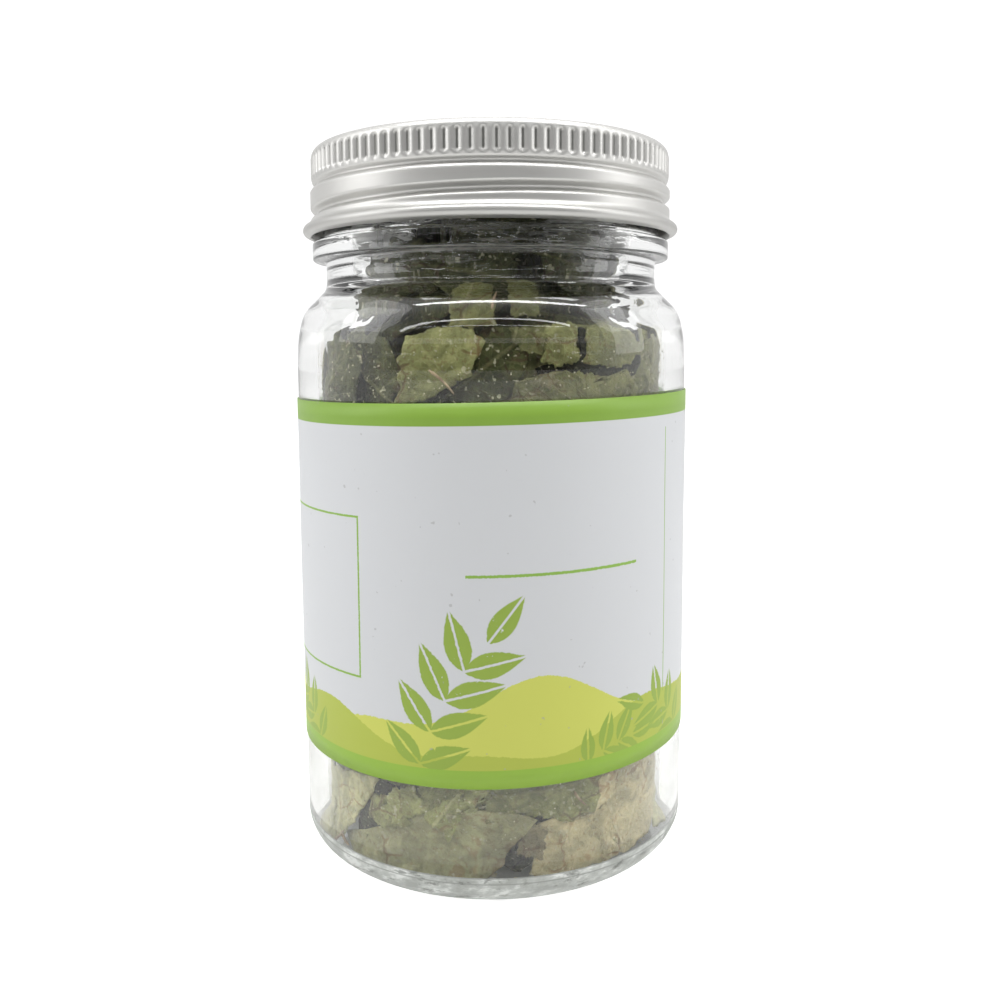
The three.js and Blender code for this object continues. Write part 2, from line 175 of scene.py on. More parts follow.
def paint(graph, shader, tone, roughness):
    graph.put(shader.inputs["Base Color"], tone)
    graph.put(shader.inputs["Roughness"], roughness)


def bumpInto(graph, shader, height, strength, distance):
    normal = graph.add("ShaderNodeBump", height=height, strength=strength, distance=distance)
    graph.put(shader.inputs["Normal"], normal)


# small tools for meshes

def makeObject(name, vertices, faces, material=None, smooth=True):
    mesh = bpy.data.meshes.new(name)
    mesh.from_pydata([tuple(v) for v in vertices], [], [tuple(f) for f in faces])
    mesh.update()
    if smooth:
        mesh.polygons.foreach_set("use_smooth", [True] * len(mesh.polygons))
    piece = bpy.data.objects.new(name, mesh)
    bpy.context.scene.collection.objects.link(piece)
    if material:
        mesh.materials.append(material)
    return piece


def onWall(radius, angle, height):
    # a point from its distance to the axis, its bearing in radians and its height
    return radius * mm * math.cos(angle), radius * mm * math.sin(angle), height * mm


def circle(radius, height, columns):
    return [onWall(radius, math.tau * k / columns, height) for k in range(columns)]


def turnedFaces(rings, columns):
    # faces between rings of points, closed by a fan to the first point and one to the last
    last = rings * columns + 1
    faces = []
    for k in range(columns):
        after = (k + 1) % columns
        faces.append((0, 1 + after, 1 + k))
        for i in range(rings - 1):
            a, b = 1 + i * columns, 1 + (i + 1) * columns
            faces.append((a + k, a + after, b + after, b + k))
        top = 1 + (rings - 1) * columns
        faces.append((top + k, top + after, last))
    return faces


def revolve(name, profile, columns, material=None):
    # profile: (radius, height) in millimetres, from the axis round the wall and back to the axis
    inner = [(r, z) for r, z in profile if r > 0]
    vertices = [(0, 0, profile[0][1] * mm)]
    for r, z in inner:
        vertices += circle(r, z, columns)
    vertices.append((0, 0, profile[-1][1] * mm))
    return makeObject(name, vertices, turnedFaces(len(inner), columns), material)


def arc(centreR, centreZ, radius, start, end, steps):
    angles = [math.radians(start + (end - start) * i / steps) for i in range(steps + 1)]
    return [(centreR + radius * math.cos(a), centreZ + radius * math.sin(a)) for a in angles]


def spline(points, steps):
    # Catmull-Rom through the points
    path = [points[0], *points, points[-1]]
    made = []
    for i in range(1, len(path) - 2):
        p0, p1, p2, p3 = (np.array(path[k], float) for k in (i - 1, i, i + 1, i + 2))
        for step in range(steps):
            t = step / steps
            point = 0.5 * (2 * p1 + (p2 - p0) * t + (2 * p0 - 5 * p1 + 4 * p2 - p3) * t * t
                           + (3 * p1 - p0 - 3 * p2 + p3) * t ** 3)
            made.append(tuple(point))
    return made + [points[-1]]


def rows(profile, longest):
    # adds points so that no step of a profile is longer than this
    made = [profile[0]]
    for (r0, z0), (r1, z1) in zip(profile, profile[1:]):
        count = max(1, math.ceil(math.hypot(r1 - r0, z1 - z0) / longest))
        made += [(r0 + (r1 - r0) * i / count, z0 + (z1 - z0) * i / count) for i in range(1, count + 1)]
    return made


# camera

cameraView = {"distance": 0.1576, "height": 0.0766, "pitch": 6.03, "yaw": 0.464, "roll": -0.344,
              "lens": 35.76, "sensor": 36.0, "shift": -0.0498, "near": 0.005, "far": 20.0}


def makeCamera():
    data = bpy.data.cameras.new("camera")
    data.sensor_width = cameraView["sensor"]
    data.lens = cameraView["lens"]
    data.shift_y = cameraView["shift"]
    data.clip_start, data.clip_end = cameraView["near"], cameraView["far"]
    camera = bpy.data.objects.new("camera", data)
    bpy.context.scene.collection.objects.link(camera)
    pitch, yaw, roll = (math.radians(cameraView[k]) for k in ("pitch", "yaw", "roll"))
    level = math.cos(pitch)
    ahead = Vector((math.sin(yaw) * level, math.cos(yaw) * level, -math.sin(pitch)))
    right = ahead.cross(Vector((0, 0, 1))).normalized()
    up = right.cross(ahead)
    across = right * math.cos(roll) + up * math.sin(roll)
    upright = -right * math.sin(roll) + up * math.cos(roll)
    turn = Matrix((across, upright, -ahead)).transposed().to_4x4()
    camera.matrix_world = Matrix.Translation((0, -cameraView["distance"], cameraView["height"])) @ turn
    bpy.context.scene.camera = camera


makeCamera()


# shared sizes of the jar, lid and thread, in millimetres

jarSizes = {"bodyRadius": 30.0, "wall": 3.0, "floor": 2.7, "heel": 4.3, "corner": 1.5, "pushUp": 0.9,
            "pushUpRadius": 22.4, "neckRadius": 25.35, "beadRadius": 27.35, "beadLow": 89.4, "beadHigh": 92.1,
            "beadCorner": 0.35, "beadFillet": 0.6, "finishRadius": 25.8, "finishLow": 94.0,
            "finishHigh": 102.3, "rimEdge": 0.9, "boreRadius": 21.5, "seam": 4.7, "seamHalf": 0.14,
            "seamDent": 0.09, "shoulderLow": 73.0, "neckLow": 86.2, "boreLow": 87.5,
            "insideShoulderLow": 76.4, "columns": 224}
# points that the curves of the glass pass through between these: radius and height
jarCurves = {"foot": [(12, 0.9), (17.5, 0.8), (20.5, 0.45)],
             "shoulder": [(29.93, 75.6), (29.68, 78.4), (28.78, 81.5), (26.75, 83.75), (25.62, 85.0)],
             "insideShoulder": [(21.75, 86.0), (22.8, 84.4), (25.5, 81.7), (26.8, 79.0)]}
threadSizes = {"pitch": 3.175, "heightAtLeft": 96.15, "lidStart": 112.0, "lidEnd": 470.0,
               "lidDepth": 0.95, "lidHalfWidth": 0.95, "glassStart": -150.0, "glassEnd": 366.0,
               "glassHeight": 1.0, "glassHalfWidth": 0.95, "glassLead": 1.15, "glassFrom": 24.5}
lidSizes = {"top": 105.8, "wall": 0.4, "radius": 27.2, "knurls": 100, "knurlDepth": 0.4,
            "knurlTop": 104.55, "knurlBottom": 101.55, "seatGroove": 100.4, "seatRadius": 26.6,
            "bulge": 27.5, "bulgeLow": 95.35, "flange": 28.7, "flangeMiddle": 93.85, "flangeEdge": 0.8,
            "innerLow": 93.6, "ceiling": 105.05, "columns": 800}


def startTree(name, numbers, wholeNumbers=()):
    # a geometry tree with these named inputs, a material input, and one way out
    tree = bpy.data.node_groups.new(name, "GeometryNodeTree")
    sockets = [("Geometry", "Geometry")] + [(each, "Float") for each in numbers]
    sockets += [(each, "Int") for each in wholeNumbers] + [("Material", "Material")]
    for each, kind in sockets:
        tree.interface.new_socket(each, in_out="INPUT", socket_type=f"NodeSocket{kind}")
    tree.interface.new_socket("Geometry", in_out="OUTPUT", socket_type="NodeSocketGeometry")
    g = Graph(tree)
    given = tree.nodes.new("NodeGroupInput")
    return g, {s.name: Wire(g, s) for s in given.outputs}


def endTree(g, geometry, material):
    real = g.add("GeometryNodeRealizeInstances", geometry=geometry)
    done = g.add("GeometryNodeSetMaterial", geometry=real, material=material)
    result = g.tree.nodes.new("NodeGroupOutput")
    g.tree.links.new(done.socket, result.inputs[0])
    return g.tree


# how the rolled forms run out: knurl ends and thread ends, in millimetres and degrees
rollShape = {"knurlLowFade": 0.25, "knurlHighFade": 0.3, "knurlRoundness": 0.55, "threadFade": 26.0}


def rolledTree():
    # presses vertical knurls and a helical thread into a turned wall
    roll = rollShape
    g, value = startTree("rolledWall", (
        "Knurl Count", "Knurl Depth", "Knurl Low", "Knurl High", "Pitch", "Height At Left",
        "Thread Start", "Thread End", "Thread Depth", "Thread Half Width", "Inner Limit"))
    x, y, z = g.split(g.add("GeometryNodeInputPosition"))
    radius = g.reach(x, y)
    angle = g.bearing(x, y)
    degrees = g.math("MODULO", angle * (360 / math.tau) + 720, 360.0)
    height = z / mm
    # rounded ribs with narrow grooves between them, fading at both ends
    wave = 0.5 + 0.5 * g.math("COSINE", angle * value["Knurl Count"])
    low, high = value["Knurl Low"], value["Knurl High"]
    above = g.smooth(height, low - roll["knurlLowFade"], low + roll["knurlLowFade"])
    below = g.smooth(height, high + roll["knurlHighFade"], high - roll["knurlHighFade"])
    groove = (1 - wave ** roll["knurlRoundness"]) * above * below * value["Knurl Depth"]
    press = 0.0
    for turn in (-1, 0, 1):
        place = degrees + 360 * turn
        centre = value["Height At Left"] + value["Pitch"] * (place - 180) / 360
        offset = abs(height - centre) / value["Thread Half Width"]
        shape = g.math("COSINE", g.math("MINIMUM", offset, 1.0) * (math.pi / 2)) ** 2
        ends = g.math("MINIMUM", place - value["Thread Start"], value["Thread End"] - place)
        press = g.math("MAXIMUM", shape * g.smooth(ends, 0.0, roll["threadFade"]), press)
    outside = radius / mm > value["Inner Limit"]
    inward = (groove + press * value["Thread Depth"] * outside) * mm
    share = (radius - inward) / g.math("MAXIMUM", radius, 0.0001)
    moved = g.join(x * share, y * share, z)
    shaped = g.add("GeometryNodeSetPosition", geometry=value["Geometry"], position=moved)
    return endTree(g, shaped, value["Material"])


def runTree(piece, tree, values):
    modifier = piece.modifiers.new("nodes", "NODES")
    modifier.node_group = tree
    ids = {item.name: item.identifier for item in tree.interface.items_tree if item.in_out == "INPUT"}
    for name, value in values.items():
        modifier[ids[name]] = value
    bpy.context.view_layer.update()
    evaluated = piece.evaluated_get(bpy.context.evaluated_depsgraph_get())
    mesh = bpy.data.meshes.new_from_object(evaluated)
    piece.modifiers.clear()
    old = piece.data
    piece.data = mesh
    mesh.name = piece.name
    bpy.data.meshes.remove(old)
    mesh.polygons.foreach_set("use_smooth", [True] * len(mesh.polygons))
    return piece


rolled = rolledTree()


# glass

# a grain is the scale of a noise: a larger number is finer; heights are in millimetres
glassLook = {"tint": (0.985, 0.99, 0.985), "passes": 0.97, "ripple": 0.24, "rippleGrain": 55.0,
             "rippleStretch": 0.35, "calmLow": 82.0, "calm": 0.92, "streakLow": 85.0, "streakHigh": 90.0,
             "streaks": 2.2, "streakGrain": 70.0, "streakStretch": 30.0, "streakBreaks": 120.0,
             "streakNarrow": 8.0, "seamBearing": 257.5, "seamKnots": 0.7, "knotGrain": 1500.0,
             "bump": 0.35, "bumpDepth": 0.0004}
stippleLook = {"tone": (0.56, 0.58, 0.55), "frosted": (0.86, 0.88, 0.85), "pit": (0.2, 0.21, 0.19),
               "grain": 620.0, "fineGrain": 2600.0, "cloudGrain": 420.0, "bump": 0.6, "bumpDepth": 0.0002,
               "roughness": 0.42, "clear": 0.22, "top": 4.95, "underside": (0.5, 0.51, 0.48),
               "undersideRadius": 23.0, "lines": (3.9, 4.72)}


def letLightIn(material, g, shader, passes):
    # shadows pass the glass, so that lamps light what is inside
    inShadow = g.add("ShaderNodeLightPath", out=1)
    clear = g.add("ShaderNodeBsdfTransparent", color=(passes, passes, passes, 1.0))
    mixed = material.node_tree.nodes.new("ShaderNodeMixShader")
    g.put(mixed.inputs[0], inShadow)
    material.node_tree.links.new(shader.outputs[0], mixed.inputs[1])
    g.put(mixed.inputs[2], clear)
    out = material.node_tree.nodes["Material Output"]
    material.node_tree.links.new(mixed.outputs[0], out.inputs[0])


def glassMaterial():
    look = glassLook
    material, g, shader = makeMaterial("clearGlass", Transmission_Weight=1.0, IOR=1.5, Roughness=0.0)
    shader.inputs["Base Color"].default_value = colour(look["tint"])
    x, y, z = g.split(g.place())
    ripple = g.noise(g.join(x, y, z * look["rippleStretch"]), look["rippleGrain"], 2.0, 0.45)
    # fine drawn lines round the moulded neck
    broken = g.smooth(g.noise(g.join(x, y, z * 4.0), look["streakBreaks"]), 0.5, 0.62)
    drawn = g.noise(g.join(x, y, z * look["streakStretch"]), look["streakGrain"], 1.0, 0.5) * broken
    bearing = g.bearing(x, y)
    ahead = abs(g.math("SINE", bearing)) ** look["streakNarrow"]
    upper = g.smooth(z / mm, look["streakLow"], look["streakHigh"])
    neck = upper * look["streaks"] * ahead
    calm = 1.0 - look["calm"] * g.smooth(z / mm, look["calmLow"], look["streakLow"])
    # the two mould seams
    offSeam = abs(g.math("SINE", bearing - math.radians(look["seamBearing"]))) * 26.0   # millimetres
    knots = g.smooth(offSeam, 0.6, 0.15) * g.noise(g.join(x, y, z), look["knotGrain"], 1.0, 0.5)
    height = ripple * look["ripple"] * calm + (drawn + knots * look["seamKnots"]) * neck
    bumpInto(g, shader, height, look["bump"], look["bumpDepth"])
    letLightIn(material, g, shader, look["passes"])
    return material


def stippledMaterial():
    # the underside and the lowest part of the heel: moulded stipple that scatters the light
    look = stippleLook
    material, g, shader = makeMaterial("stippledGlass", IOR=1.5, Transmission_Weight=look["clear"])
    place = g.place()
    x, y, z = g.split(place)
    radius = g.reach(x, y)
    around = g.bearing(x, y) * radius
    coarse = g.noise(g.join(around * 0.55, radius * 1.3, z * 1.3), look["grain"], 4.0, 0.7)
    fine = g.noise(place, look["fineGrain"], 2.0, 0.6)
    cloudy = g.noise(g.join(around * 0.5, radius, z), look["cloudGrain"], 4.0, 0.7)
    dark = g.smooth(coarse, 0.46, 0.34) * 0.8 + g.smooth(cloudy, 0.5, 0.36) * 0.35
    # painted shade: inside the bearing ring the underside takes a darker colour for the shadow under the jar
    rim = g.smooth(radius / mm, look["undersideRadius"], look["undersideRadius"] + 2.0)
    frost = g.mix(g.smooth(cloudy, 0.48, 0.62), look["tone"], look["frosted"])
    base = g.mix(rim, look["underside"], frost)
    for line in look["lines"]:
        dark = g.math("MAXIMUM", dark, g.smooth(abs(z / mm - line), 0.13, 0.05) * 0.6)
    paint(g, shader, g.mix(dark * rim, base, look["pit"]), look["roughness"] + (fine - 0.5) * 0.3)
    bumpInto(g, shader, coarse + fine * 0.5, look["bump"], look["bumpDepth"])
    letLightIn(material, g, shader, glassLook["passes"])
    return material


def glassProfile():
    s = jarSizes
    body, inside = s["bodyRadius"], s["bodyRadius"] - s["wall"]
    seam = [(body, s["seam"] - s["seamHalf"]), (body - s["seamDent"], s["seam"]),
            (body, s["seam"] + s["seamHalf"])]
    foot = [(0, s["pushUp"]), *jarCurves["foot"], (s["pushUpRadius"], 0.05), (s["pushUpRadius"] + 0.8, 0)]
    heel = arc(body - s["heel"], s["heel"], s["heel"], -90, 0, 14)
    shoulder = spline([(body, s["shoulderLow"]), *jarCurves["shoulder"], (s["neckRadius"], s["neckLow"])], 8)
    neck, beadRadius, corner, fillet = s["neckRadius"], s["beadRadius"], s["beadCorner"], s["beadFillet"]
    bead = (arc(neck + fillet, s["beadLow"] - fillet, fillet, 180, 90, 6)
            + arc(beadRadius - corner, s["beadLow"] + corner, corner, -90, 0, 6)
            + arc(beadRadius - corner, s["beadHigh"] - corner, corner, 0, 90, 6)
            + arc(s["finishRadius"] + fillet, s["beadHigh"] + fillet, fillet, 270, 180, 6))
    edge, rimMiddle = s["rimEdge"], s["finishHigh"] + 0.3
    rim = ([(s["finishRadius"], s["finishLow"]), (s["finishRadius"], s["finishHigh"])]
           + arc(s["finishRadius"] - edge, rimMiddle, edge, 0, 90, 6)
           + arc(s["boreRadius"] + edge, rimMiddle, edge, 90, 180, 6))
    insideShoulder = spline([(s["boreRadius"], s["boreLow"]), *jarCurves["insideShoulder"],
                             (inside, s["insideShoulderLow"])], 7)
    corner = arc(inside - s["corner"], s["floor"] + s["corner"], s["corner"], 0, -90, 10)
    outside = foot + heel + seam + rows([seam[-1], shoulder[0]], 6)[1:-1] + shoulder + bead
    upper = rows([bead[-1], rim[0]], 0.4)[1:] + rows(rim[:2], 0.22)[1:] + rim[2:]
    lower = rows([rim[-1], insideShoulder[0]], 4)[1:-1] + insideShoulder
    floor = rows([insideShoulder[-1], corner[0]], 6)[1:-1] + corner + [(12, s["floor"]), (0, s["floor"])]
    return outside + upper + lower + floor


def makeGlass():
    t = threadSizes
    glass = revolve("jarGlass", glassProfile(), jarSizes["columns"])
    # the thread only: the knurls have no depth here and lie above the jar
    runTree(glass, rolled, {
        "Knurl Count": 1.0, "Knurl Depth": 0.0, "Knurl Low": 200.0, "Knurl High": 201.0,
        "Pitch": t["pitch"], "Height At Left": t["heightAtLeft"] + t["glassLead"],
        "Thread Start": t["glassStart"], "Thread End": t["glassEnd"], "Thread Depth": -t["glassHeight"],
        "Thread Half Width": t["glassHalfWidth"], "Inner Limit": t["glassFrom"], "Material": glassMaterial()})
    glass.data.materials.append(stippledMaterial())
    for face in glass.data.polygons:
        outside = math.hypot(face.center.x, face.center.y) / mm > jarSizes["bodyRadius"] - 1.5
        if face.center.z / mm < stippleLook["top"] and (face.normal.z < -0.12 or outside):
            face.material_index = 1
    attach(glass, "jar")
    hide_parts("glass_jar")


makeGlass()
print("glass made")


# lid

lidLook = {"metal": (0.58, 0.575, 0.557), "roughness": 0.43, "dust": (0.5, 0.5, 0.48), "dustShare": 0.35,
           "groove": (0.16, 0.16, 0.15), "grooveShare": 0.16, "grooveShade": 0.85,
           "curl": (0.44, 0.435, 0.42), "curlTop": 95.2, "curlFade": 0.8, "curlShade": 0.75,
           "markGrain": 420.0, "cloudGrain": 90.0, "speckGrain": 1300.0, "bump": 0.12, "bumpDepth": 0.0001}


def aluminiumMaterial():
    look = lidLook
    material, g, shader = makeMaterial("rolledAluminium", Metallic=1.0)
    place = g.place()
    x, y, z = g.split(place)
    height = z / mm
    # rolling marks run round the skirt and across the top
    turned = g.noise(g.join(g.reach(x, y) * 9.0, 0.0, z * 9.0), look["markGrain"], 3.0, 0.55)
    cloud = g.noise(place, look["cloudGrain"], 3.0, 0.55)
    tone = g.mix(cloud, tuple(c * 0.93 for c in look["metal"]), look["metal"])
    dust = g.smooth(g.noise(place, look["speckGrain"], 1.0, 0.5), 0.7, 0.78) * look["dustShare"]
    # painted shade: the curl at the rim is darkened for the shade of the bead above it
    curl = g.smooth(height, look["curlTop"], look["curlTop"] - look["curlFade"]) * look["curlShade"]
    tone = g.mix(curl, tone, look["curl"])
    # painted shade: the colour darkens in the bottoms of the knurls, where little light gets in
    wave = 0.5 + 0.5 * g.math("COSINE", g.bearing(x, y) * float(lidSizes["knurls"]))
    above = g.smooth(height, lidSizes["knurlBottom"] + 0.1, lidSizes["knurlBottom"] + 0.5)
    below = g.smooth(height, lidSizes["knurlTop"] + 0.1, lidSizes["knurlTop"] - 0.2)
    paintedGrooveShade = g.smooth(wave, look["grooveShare"], 0.02) * above * below * look["grooveShade"]
    tone = g.mix(paintedGrooveShade, g.mix(dust, tone, look["dust"]), look["groove"])
    paint(g, shader, tone, look["roughness"] + (cloud - 0.5) * 0.14 + (turned - 0.5) * 0.12)
    bumpInto(g, shader, turned * 0.6 + cloud * 0.8, look["bump"], look["bumpDepth"])
    return material


def lidProfile():
    s = lidSizes
    top, radius, wall, bulge = s["top"], s["radius"], s["wall"], s["bulge"]
    groove, seat = s["seatGroove"], s["seatRadius"]
    crown = [(0, top - 0.2), (14, top - 0.2), (radius - 3.4, top - 0.18), (radius - 2.7, top - 0.05),
             (radius - 2.1, top)] + arc(radius - 1.2, top - 1.25, 1.25, 82, 6, 10)
    skirt = [(radius + 0.1, s["knurlTop"] - 0.05)] + rows(
        [(radius + 0.12, s["knurlTop"] - 0.25), (radius + 0.12, s["knurlBottom"])], 0.16)
    seatCurve = [(radius, groove + 0.72), (radius - 0.06, groove + 0.55), (radius - 0.25, groove + 0.36),
                 (seat + 0.08, groove + 0.16), (seat, groove), (seat + 0.1, groove - 0.2),
                 (seat + 0.42, groove - 0.42), (bulge - 0.2, groove - 0.62), (bulge, groove - 0.9)]
    wallDown = rows([(bulge, groove - 0.9), (bulge, s["bulgeLow"])], 0.16)[1:]
    low, edge, ceiling = s["bulgeLow"], s["flangeEdge"], s["ceiling"]
    flange = ([(bulge + 0.12, low - 0.25), (bulge + 0.42, low - 0.55)]
              + arc(s["flange"] - edge, s["flangeMiddle"], edge, 75, -78, 14)
              + arc(bulge + 0.12, s["flangeMiddle"] - 0.65, 0.32, -60, -180, 6))
    insideWall = rows([(bulge - wall, s["innerLow"]), (bulge - wall, groove - 0.75)], 0.3)
    seatInside, wallInside = seat - wall, radius - wall - 0.2
    insideTop = [(seatInside + 0.15, groove - 0.4), (seatInside, groove), (seatInside + 0.15, groove + 0.4),
                 (wallInside, groove + 0.85), (wallInside, ceiling - 0.25), (wallInside - 0.6, ceiling),
                 (14, ceiling), (0, ceiling)]
    outside = crown + skirt + seatCurve + wallDown + flange
    return (outside + insideWall + insideTop)[::-1]


def makeLid():
    s, t = lidSizes, threadSizes
    lid = revolve("lidShell", lidProfile(), s["columns"])
    runTree(lid, rolled, {
        "Knurl Count": float(s["knurls"]), "Knurl Depth": s["knurlDepth"], "Knurl Low": s["knurlBottom"],
        "Knurl High": s["knurlTop"], "Pitch": t["pitch"], "Height At Left": t["heightAtLeft"],
        "Thread Start": t["lidStart"], "Thread End": t["lidEnd"], "Thread Depth": t["lidDepth"],
        "Thread Half Width": t["lidHalfWidth"], "Inner Limit": 0.0, "Material": aluminiumMaterial()})
    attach(lid, "lid")
    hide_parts("lid_shell")


makeLid()


# a disc with a rounded edge, pressed in a little where it meets the rim of the glass
linerSizes = {"top": 104.75, "thickness": 1.0, "edge": 0.25, "edgeMiddle": 26.05, "pressed": 0.07,
              "pressedFrom": 22.0, "pressedTo": 24.5, "columns": 160}
linerLook = {"deep": (0.72, 0.7, 0.64), "light": (0.86, 0.85, 0.8), "roughness": 0.6, "grain": 900.0}


def makeLiner():
    s = linerSizes
    material, g, shader = makeMaterial("foamLiner")
    grain = g.noise(g.place(), linerLook["grain"], 3.0, 0.6)
    tone = g.mix(grain, linerLook["deep"], linerLook["light"])
    paint(g, shader, tone, linerLook["roughness"] + grain * 0.25)
    bumpInto(g, shader, grain, 0.3, 0.0001)
    top, bottom = s["top"], s["top"] - s["thickness"]
    disc = ([(0, top)] + arc(s["edgeMiddle"], top - s["edge"], s["edge"], 90, 0, 4)
            + arc(s["edgeMiddle"], bottom + s["edge"], s["edge"], 0, -90, 4)
            + [(s["pressedTo"], bottom), (s["pressedTo"] - 0.2, bottom + s["pressed"]),
               (s["pressedFrom"] + 0.2, bottom + s["pressed"]), (s["pressedFrom"], bottom), (0, bottom)])
    piece = revolve("lidLiner", disc[::-1], s["columns"], material)
    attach(piece, "liner")
    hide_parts("lid_liner")


makeLiner()
print("lid and liner made")


# paper label

labelSizes = {"low": 17.5, "high": 69.3, "inside": 30.04, "gap": 0.035, "thickness": 0.14, "seam": 7.0,
              "rise": 0.0174, "highBand": 3.0, "lowBand": 2.58, "columns": 180, "levels": 26, "repeats": 3}
labelPrint = {"paper": (0.565, 0.576, 0.592), "green": (0.21, 0.36, 0.042), "lowGreen": (0.265, 0.435, 0.044),
              "rule": (0.23, 0.4, 0.06), "leaf": (0.29, 0.39, 0.055), "leafDeep": (0.23, 0.34, 0.045),
              "farHill": (0.52, 0.55, 0.1), "nearHill": (0.38, 0.44, 0.06), "speck": (0.3, 0.3, 0.3),
              "roughness": 0.42}
labelGrain = {"fray": 1600.0, "press": 700.0, "ink": 60.0, "fade": 420.0, "specks": 1000.0, "fibre": 2400.0,
              "wave": 110.0}

# foot round the label, stem length, lean and bend in degrees, pairs of leaflets, leaflet length
labelSprigs = [(-20.0, 21.0, 12.0, 16.0, 4, 9.5), (3.0, 9.0, 52.0, 20.0, 3, 6.5),
               (24.0, 12.0, -30.0, -26.0, 3, 7.0)]
# middle height over the label's foot, then waves: their height, count round the jar and shift
labelHills = {"farHill": (10.2, [(3.6, 3.0, 0.9), (1.5, 7.0, 0.0)]),
              "nearHill": (6.6, [(2.8, 3.0, -1.5), (0.9, 8.0, 2.0)])}
# thin lines, in millimetres round from the front and up from the base
labelLines = {"upright": 28.6, "uprightLow": 26.0, "uprightHigh": 64.6, "rule": 46.5, "ruleFrom": -3.6,
              "ruleTo": 21.5, "frameAt": (-41.0, 42.6), "frameHalf": (21.3, 11.2)}


def leafStamp(g, across, up, middle, foot, length, half, lean):
    # mask of one simple pointed leaf that stands on its foot and leans; sizes in millimetres
    turn = math.radians(lean)
    dx, dy = across - middle, up - foot
    along = (dx * math.sin(turn) + dy * math.cos(turn)) / length
    side = abs(dx * math.cos(turn) - dy * math.sin(turn))
    share = g.math("MINIMUM", g.math("MAXIMUM", along, 0.0), 1.0)
    width = g.math("SINE", share ** 0.75 * math.pi) * half
    blade = g.smooth(width - side, -0.05, 0.12)
    rib = g.smooth(side, 0.1, 0.22)
    return (along > 0.0) * (along < 1.0) * blade * rib


def labelMaterial():
    s, look, size = labelSizes, labelPrint, labelGrain
    material, g, shader = makeMaterial("printedLabel", Specular_IOR_Level=0.4)
    place = g.place()
    x, y, z = g.split(place)
    around = g.math("ARCTAN2", x, -1.0 * y) * s["inside"]          # millimetres round from the front
    up = (z - s["rise"] * x) / mm
    fray = (g.noise(place, size["fray"], 2.0, 0.7) - 0.5) * 0.5
    press = g.noise(place, size["press"], 4.0, 0.75)
    # sprigs of paired leaflets that stand on the lower band in a repeat
    repeat = math.tau * s["inside"] / s["repeats"]
    within = g.math("MODULO", around + repeat * 10 + 22.0, repeat) - repeat / 2
    across, height = within + fray * 0.6, up + fray * 0.6
    leaves = 0.0
    for foot, stem, lean, bend, pairs, length in labelSprigs:
        for k in range(pairs + 1):
            share = (k + 0.35) / (pairs + 0.35)
            tilt = math.radians(lean + bend * share)
            footX = foot + stem * share * math.sin(tilt)
            footZ = s["low"] + 1.5 + stem * share * math.cos(tilt)
            sides = (-1, 1) if k < pairs else (0,)
            for way in sides:
                angle = lean + bend * share * 1.6 + way * (58 - 16 * share)
                blade = length * (0.78 + 0.5 * share - 0.42 * share * share)
                mask = leafStamp(g, across, height, footX, footZ, blade, blade * 0.21, angle)
                leaves = g.math("MAXIMUM", mask, leaves)
    leaves = leaves * g.smooth(press, 0.3, 0.36)
    # two rolling hills of flat colour that the sprigs stand on
    turn = around / s["inside"]
    tone = look["paper"]
    for name, (rise, waves) in labelHills.items():
        top = s["low"] + rise
        for swell, count, shift in waves:
            top = top + swell * g.math("SINE", turn * count + shift)
        tone = g.mix(g.smooth(top - up + fray, 0.0, 0.12), tone, look[name])
    ink = g.mix(g.noise(place, size["ink"], 2.0, 0.5), look["leafDeep"], look["leaf"])
    tone = g.mix(leaves, tone, ink)
    # thin rules and a plain frame
    line = labelLines
    frayed = abs(fray) * 0.9
    upright = g.smooth(abs(around - line["upright"]), 0.12, 0.06)
    upright = upright * (up > line["uprightLow"]) * (up < line["uprightHigh"])
    rule = g.smooth(abs(up - line["rule"]) + frayed, 0.26, 0.2)
    rule = rule * (around > line["ruleFrom"]) * (around < line["ruleTo"])
    frameX = abs(around - line["frameAt"][0]) - line["frameHalf"][0]
    frameY = abs(up - line["frameAt"][1]) - line["frameHalf"][1]
    frameEdge = abs(g.math("MAXIMUM", frameX, frameY)) + frayed * 0.7
    rules = g.math("MAXIMUM", g.math("MAXIMUM", upright, rule), g.smooth(frameEdge, 0.2, 0.14))
    tone = g.mix(rules, tone, look["rule"])
    lowEdge, highEdge = s["low"] + s["lowBand"], s["high"] - s["highBand"]
    lowBand = g.smooth(up, lowEdge + 0.04, lowEdge - 0.04)
    bands = g.math("MAXIMUM", lowBand, g.smooth(up, highEdge - 0.04, highEdge + 0.04))
    fade = 0.92 + 0.08 * g.noise(place, size["fade"], 4.0, 0.7)
    green = g.mix(lowBand, look["green"], look["lowGreen"])
    green = g.mix(1.0, green, g.join(fade, fade, fade), "MULTIPLY")
    tone = g.mix(bands, tone, green)
    specks = g.smooth(g.noise(place, size["specks"], 1.0, 0.5), 0.755, 0.79) * 0.5
    fibre = g.noise(place, size["fibre"], 3.0, 0.6)
    roughness = look["roughness"] + fibre * 0.12 - bands * 0.06
    paint(g, shader, g.mix(specks, tone, look["speck"]), roughness)
    wave = g.noise(place, size["wave"], 2.0, 0.5)
    bumpInto(g, shader, fibre * 0.25 + wave * 1.2, 0.12, 0.0001)
    return material


